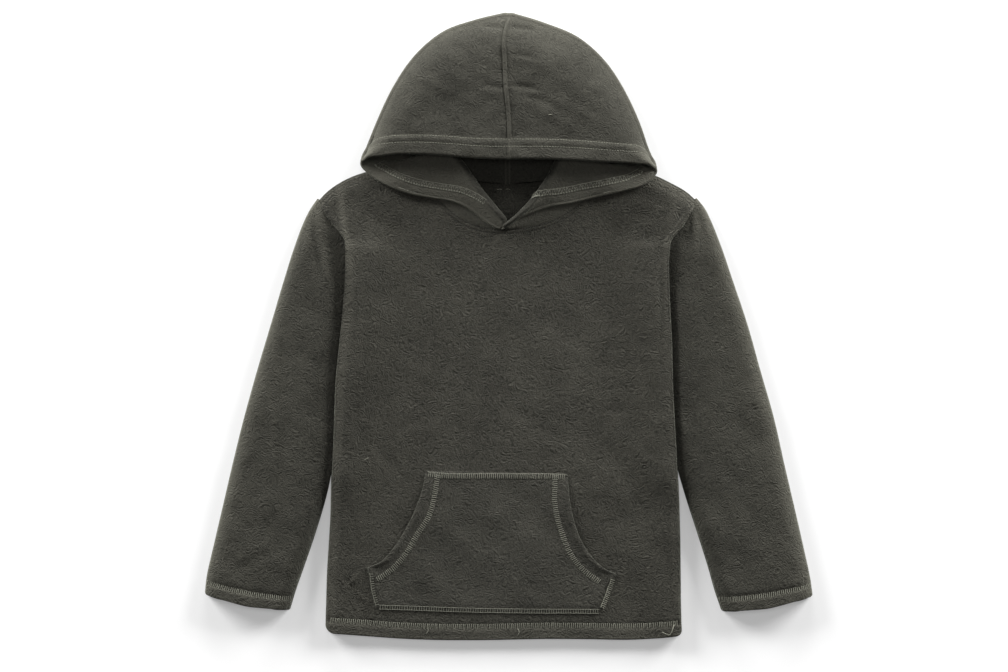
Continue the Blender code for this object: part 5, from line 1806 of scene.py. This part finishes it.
def seams():
    """Every seam of the jumper: name, slot, its thread, and its groups of paths."""
    hem_x = np.linspace(*HEM_SPAN, 40)
    hem = seam_over(front_top, np.stack((hem_x, hem_y(hem_x) + HEM_STITCH), axis=-1))
    yield "hem_stitching", "fleece_body", "pale", cover_seam(hem, 3, edges=(-1, 1), proud=0.35)
    for number, hand in enumerate((-1.0, 1.0)):
        yield from sleeve_seams(number, hand)
        yield from hood_seams(number, hand)
    neck = front_neckline(200)[44:-44]
    yield "neck_stitching", "fleece_body", "dark", [
        row_paths(*seam_over(front_top, neck - np.array([0.0, drop])), 0.0, NEEDLE_STITCH, 70, 0.6)
        for drop in NECK_ROWS]
    yield from pocket_seams()
    yield "loose_threads", "fleece_body", "pale", [loose_thread(*row) for row in LOOSE_THREADS]


def loose_thread(*places):
    """Loose thread end or speck of lint, lying on whatever is highest there."""
    line = spread(np.array(places, float), 9)
    x, y = line[0]
    if 140.0 < y < 160.0 and abs(x) < 60.0:
        height = np.full(len(line), FLOOR + 1.1)
    elif y > 200.0:
        grid = grid_of("hood_right")[:, :LEG_A].reshape(-1, 3)
        near = np.argmin(np.sum((grid[None, :, :2] - line[:, None]) ** 2, axis=-1), axis=1)
        height = grid[near, 2] + 1.2
    else:
        height = front_top(line[:, 0], line[:, 1]) + 1.5
    return np.column_stack((line, height))[None]


class JUMPER_OT_stitching(bpy.types.Operator):
    """Sew the hem, cuffs, pocket, hood and seams"""
    bl_idname = "jumper.stitching"
    bl_label = "Stitching"

    def execute(self, context):
        opt = settings()
        radius = opt.thread_radius / MM
        threads = {"pale": thread("sewing_thread", opt.thread_colour),
                   "faded": thread("looper_thread", opt.looper_colour),
                   "dark": thread("needle_thread", opt.needle_colour)}
        for name, slot, kind, groups in seams():
            dress(thread_piece(name, groups, radius), threads[kind], slot)
        return {"FINISHED"}


class JUMPER_OT_stage(bpy.types.Operator):
    """Set the table, the lights and the camera"""
    bl_idname = "jumper.stage"
    bl_label = "Stage"

    def execute(self, context):
        scene = context.scene
        mesh = bpy.data.meshes.new("table_top")
        corners = ((-1, -1), (1, -1), (1, 1), (-1, 1))
        mesh.from_pydata([(x * TABLE_HALF, y * TABLE_HALF, 0.0) for x, y in corners],
                         [], [(0, 1, 2, 3)])
        floor = bpy.data.objects.new("table_top", mesh)
        context.collection.objects.link(floor)
        make = Finish("table_paint")
        mesh.materials.append(make.set(Base_Color=grey(0.60), Roughness=0.9, Specular_IOR_Level=0.1,
                                       Emission_Color=grey(1.0), Emission_Strength=TABLE_GLOW))
        world = bpy.data.worlds.new("studio")
        scene.world = world
        world.use_nodes = True
        sky = world.node_tree.nodes["Background"]
        sky.inputs["Color"].default_value = grey(1.0)
        sky.inputs["Strength"].default_value = WORLD_LIGHT
        for name, place, wide, high, power in LIGHTS:
            light = bpy.data.lights.new(name, "AREA")
            light.shape = "RECTANGLE"
            light.size = wide
            light.size_y = high
            light.energy = power
            lamp = bpy.data.objects.new(name, light)
            context.collection.objects.link(lamp)
            lamp.location = place
            x, y, z = place
            lamp.rotation_euler = (math.atan2(math.hypot(x, y), z), 0.0,
                                   math.atan2(-y, -x) - math.pi / 2)
        lens = bpy.data.cameras.new("camera")
        lens.lens = LENS
        lens.sensor_width = SENSOR
        camera = bpy.data.objects.new("camera", lens)
        context.collection.objects.link(camera)
        camera.location = (*VIEW_MIDDLE, VIEW_WIDTH * LENS / SENSOR + VIEW_LEVEL)
        scene.camera = camera
        scene.view_settings.view_transform = "Standard"
        return {"FINISHED"}


class JUMPER_PT_panel(bpy.types.Panel):
    """Buttons and sizes in the sidebar"""
    bl_idname = "JUMPER_PT_panel"
    bl_label = "Fleece jumper"
    bl_space_type = "VIEW_3D"
    bl_region_type = "UI"
    bl_category = "Jumper"

    def draw(self, context):
        for name in JumperCloth.__annotations__:
            self.layout.prop(context.scene.jumper_cloth, name)
        for maker in OPERATORS:
            self.layout.operator(maker.bl_idname)


OPERATORS = (JUMPER_OT_body, JUMPER_OT_sleeves, JUMPER_OT_hood, JUMPER_OT_pocket,
             JUMPER_OT_stitching, JUMPER_OT_stage)


def register():
    """Add the panel, the operators and the settings."""
    for maker in (JumperCloth, JUMPER_PT_panel) + OPERATORS:
        bpy.utils.register_class(maker)
    bpy.types.Scene.jumper_cloth = bpy.props.PointerProperty(type=JumperCloth)


def unregister():
    """Take them out again."""
    del bpy.types.Scene.jumper_cloth
    for maker in reversed((JumperCloth, JUMPER_PT_panel) + OPERATORS):
        bpy.utils.unregister_class(maker)


def main():
    """Build everything in order."""
    register()
    bpy.ops.jumper.body()
    bpy.ops.jumper.sleeves()
    bpy.ops.jumper.hood()
    bpy.ops.jumper.pocket()
    bpy.ops.jumper.stitching()
    bpy.ops.jumper.stage()


if __name__ == "__main__":
    main()
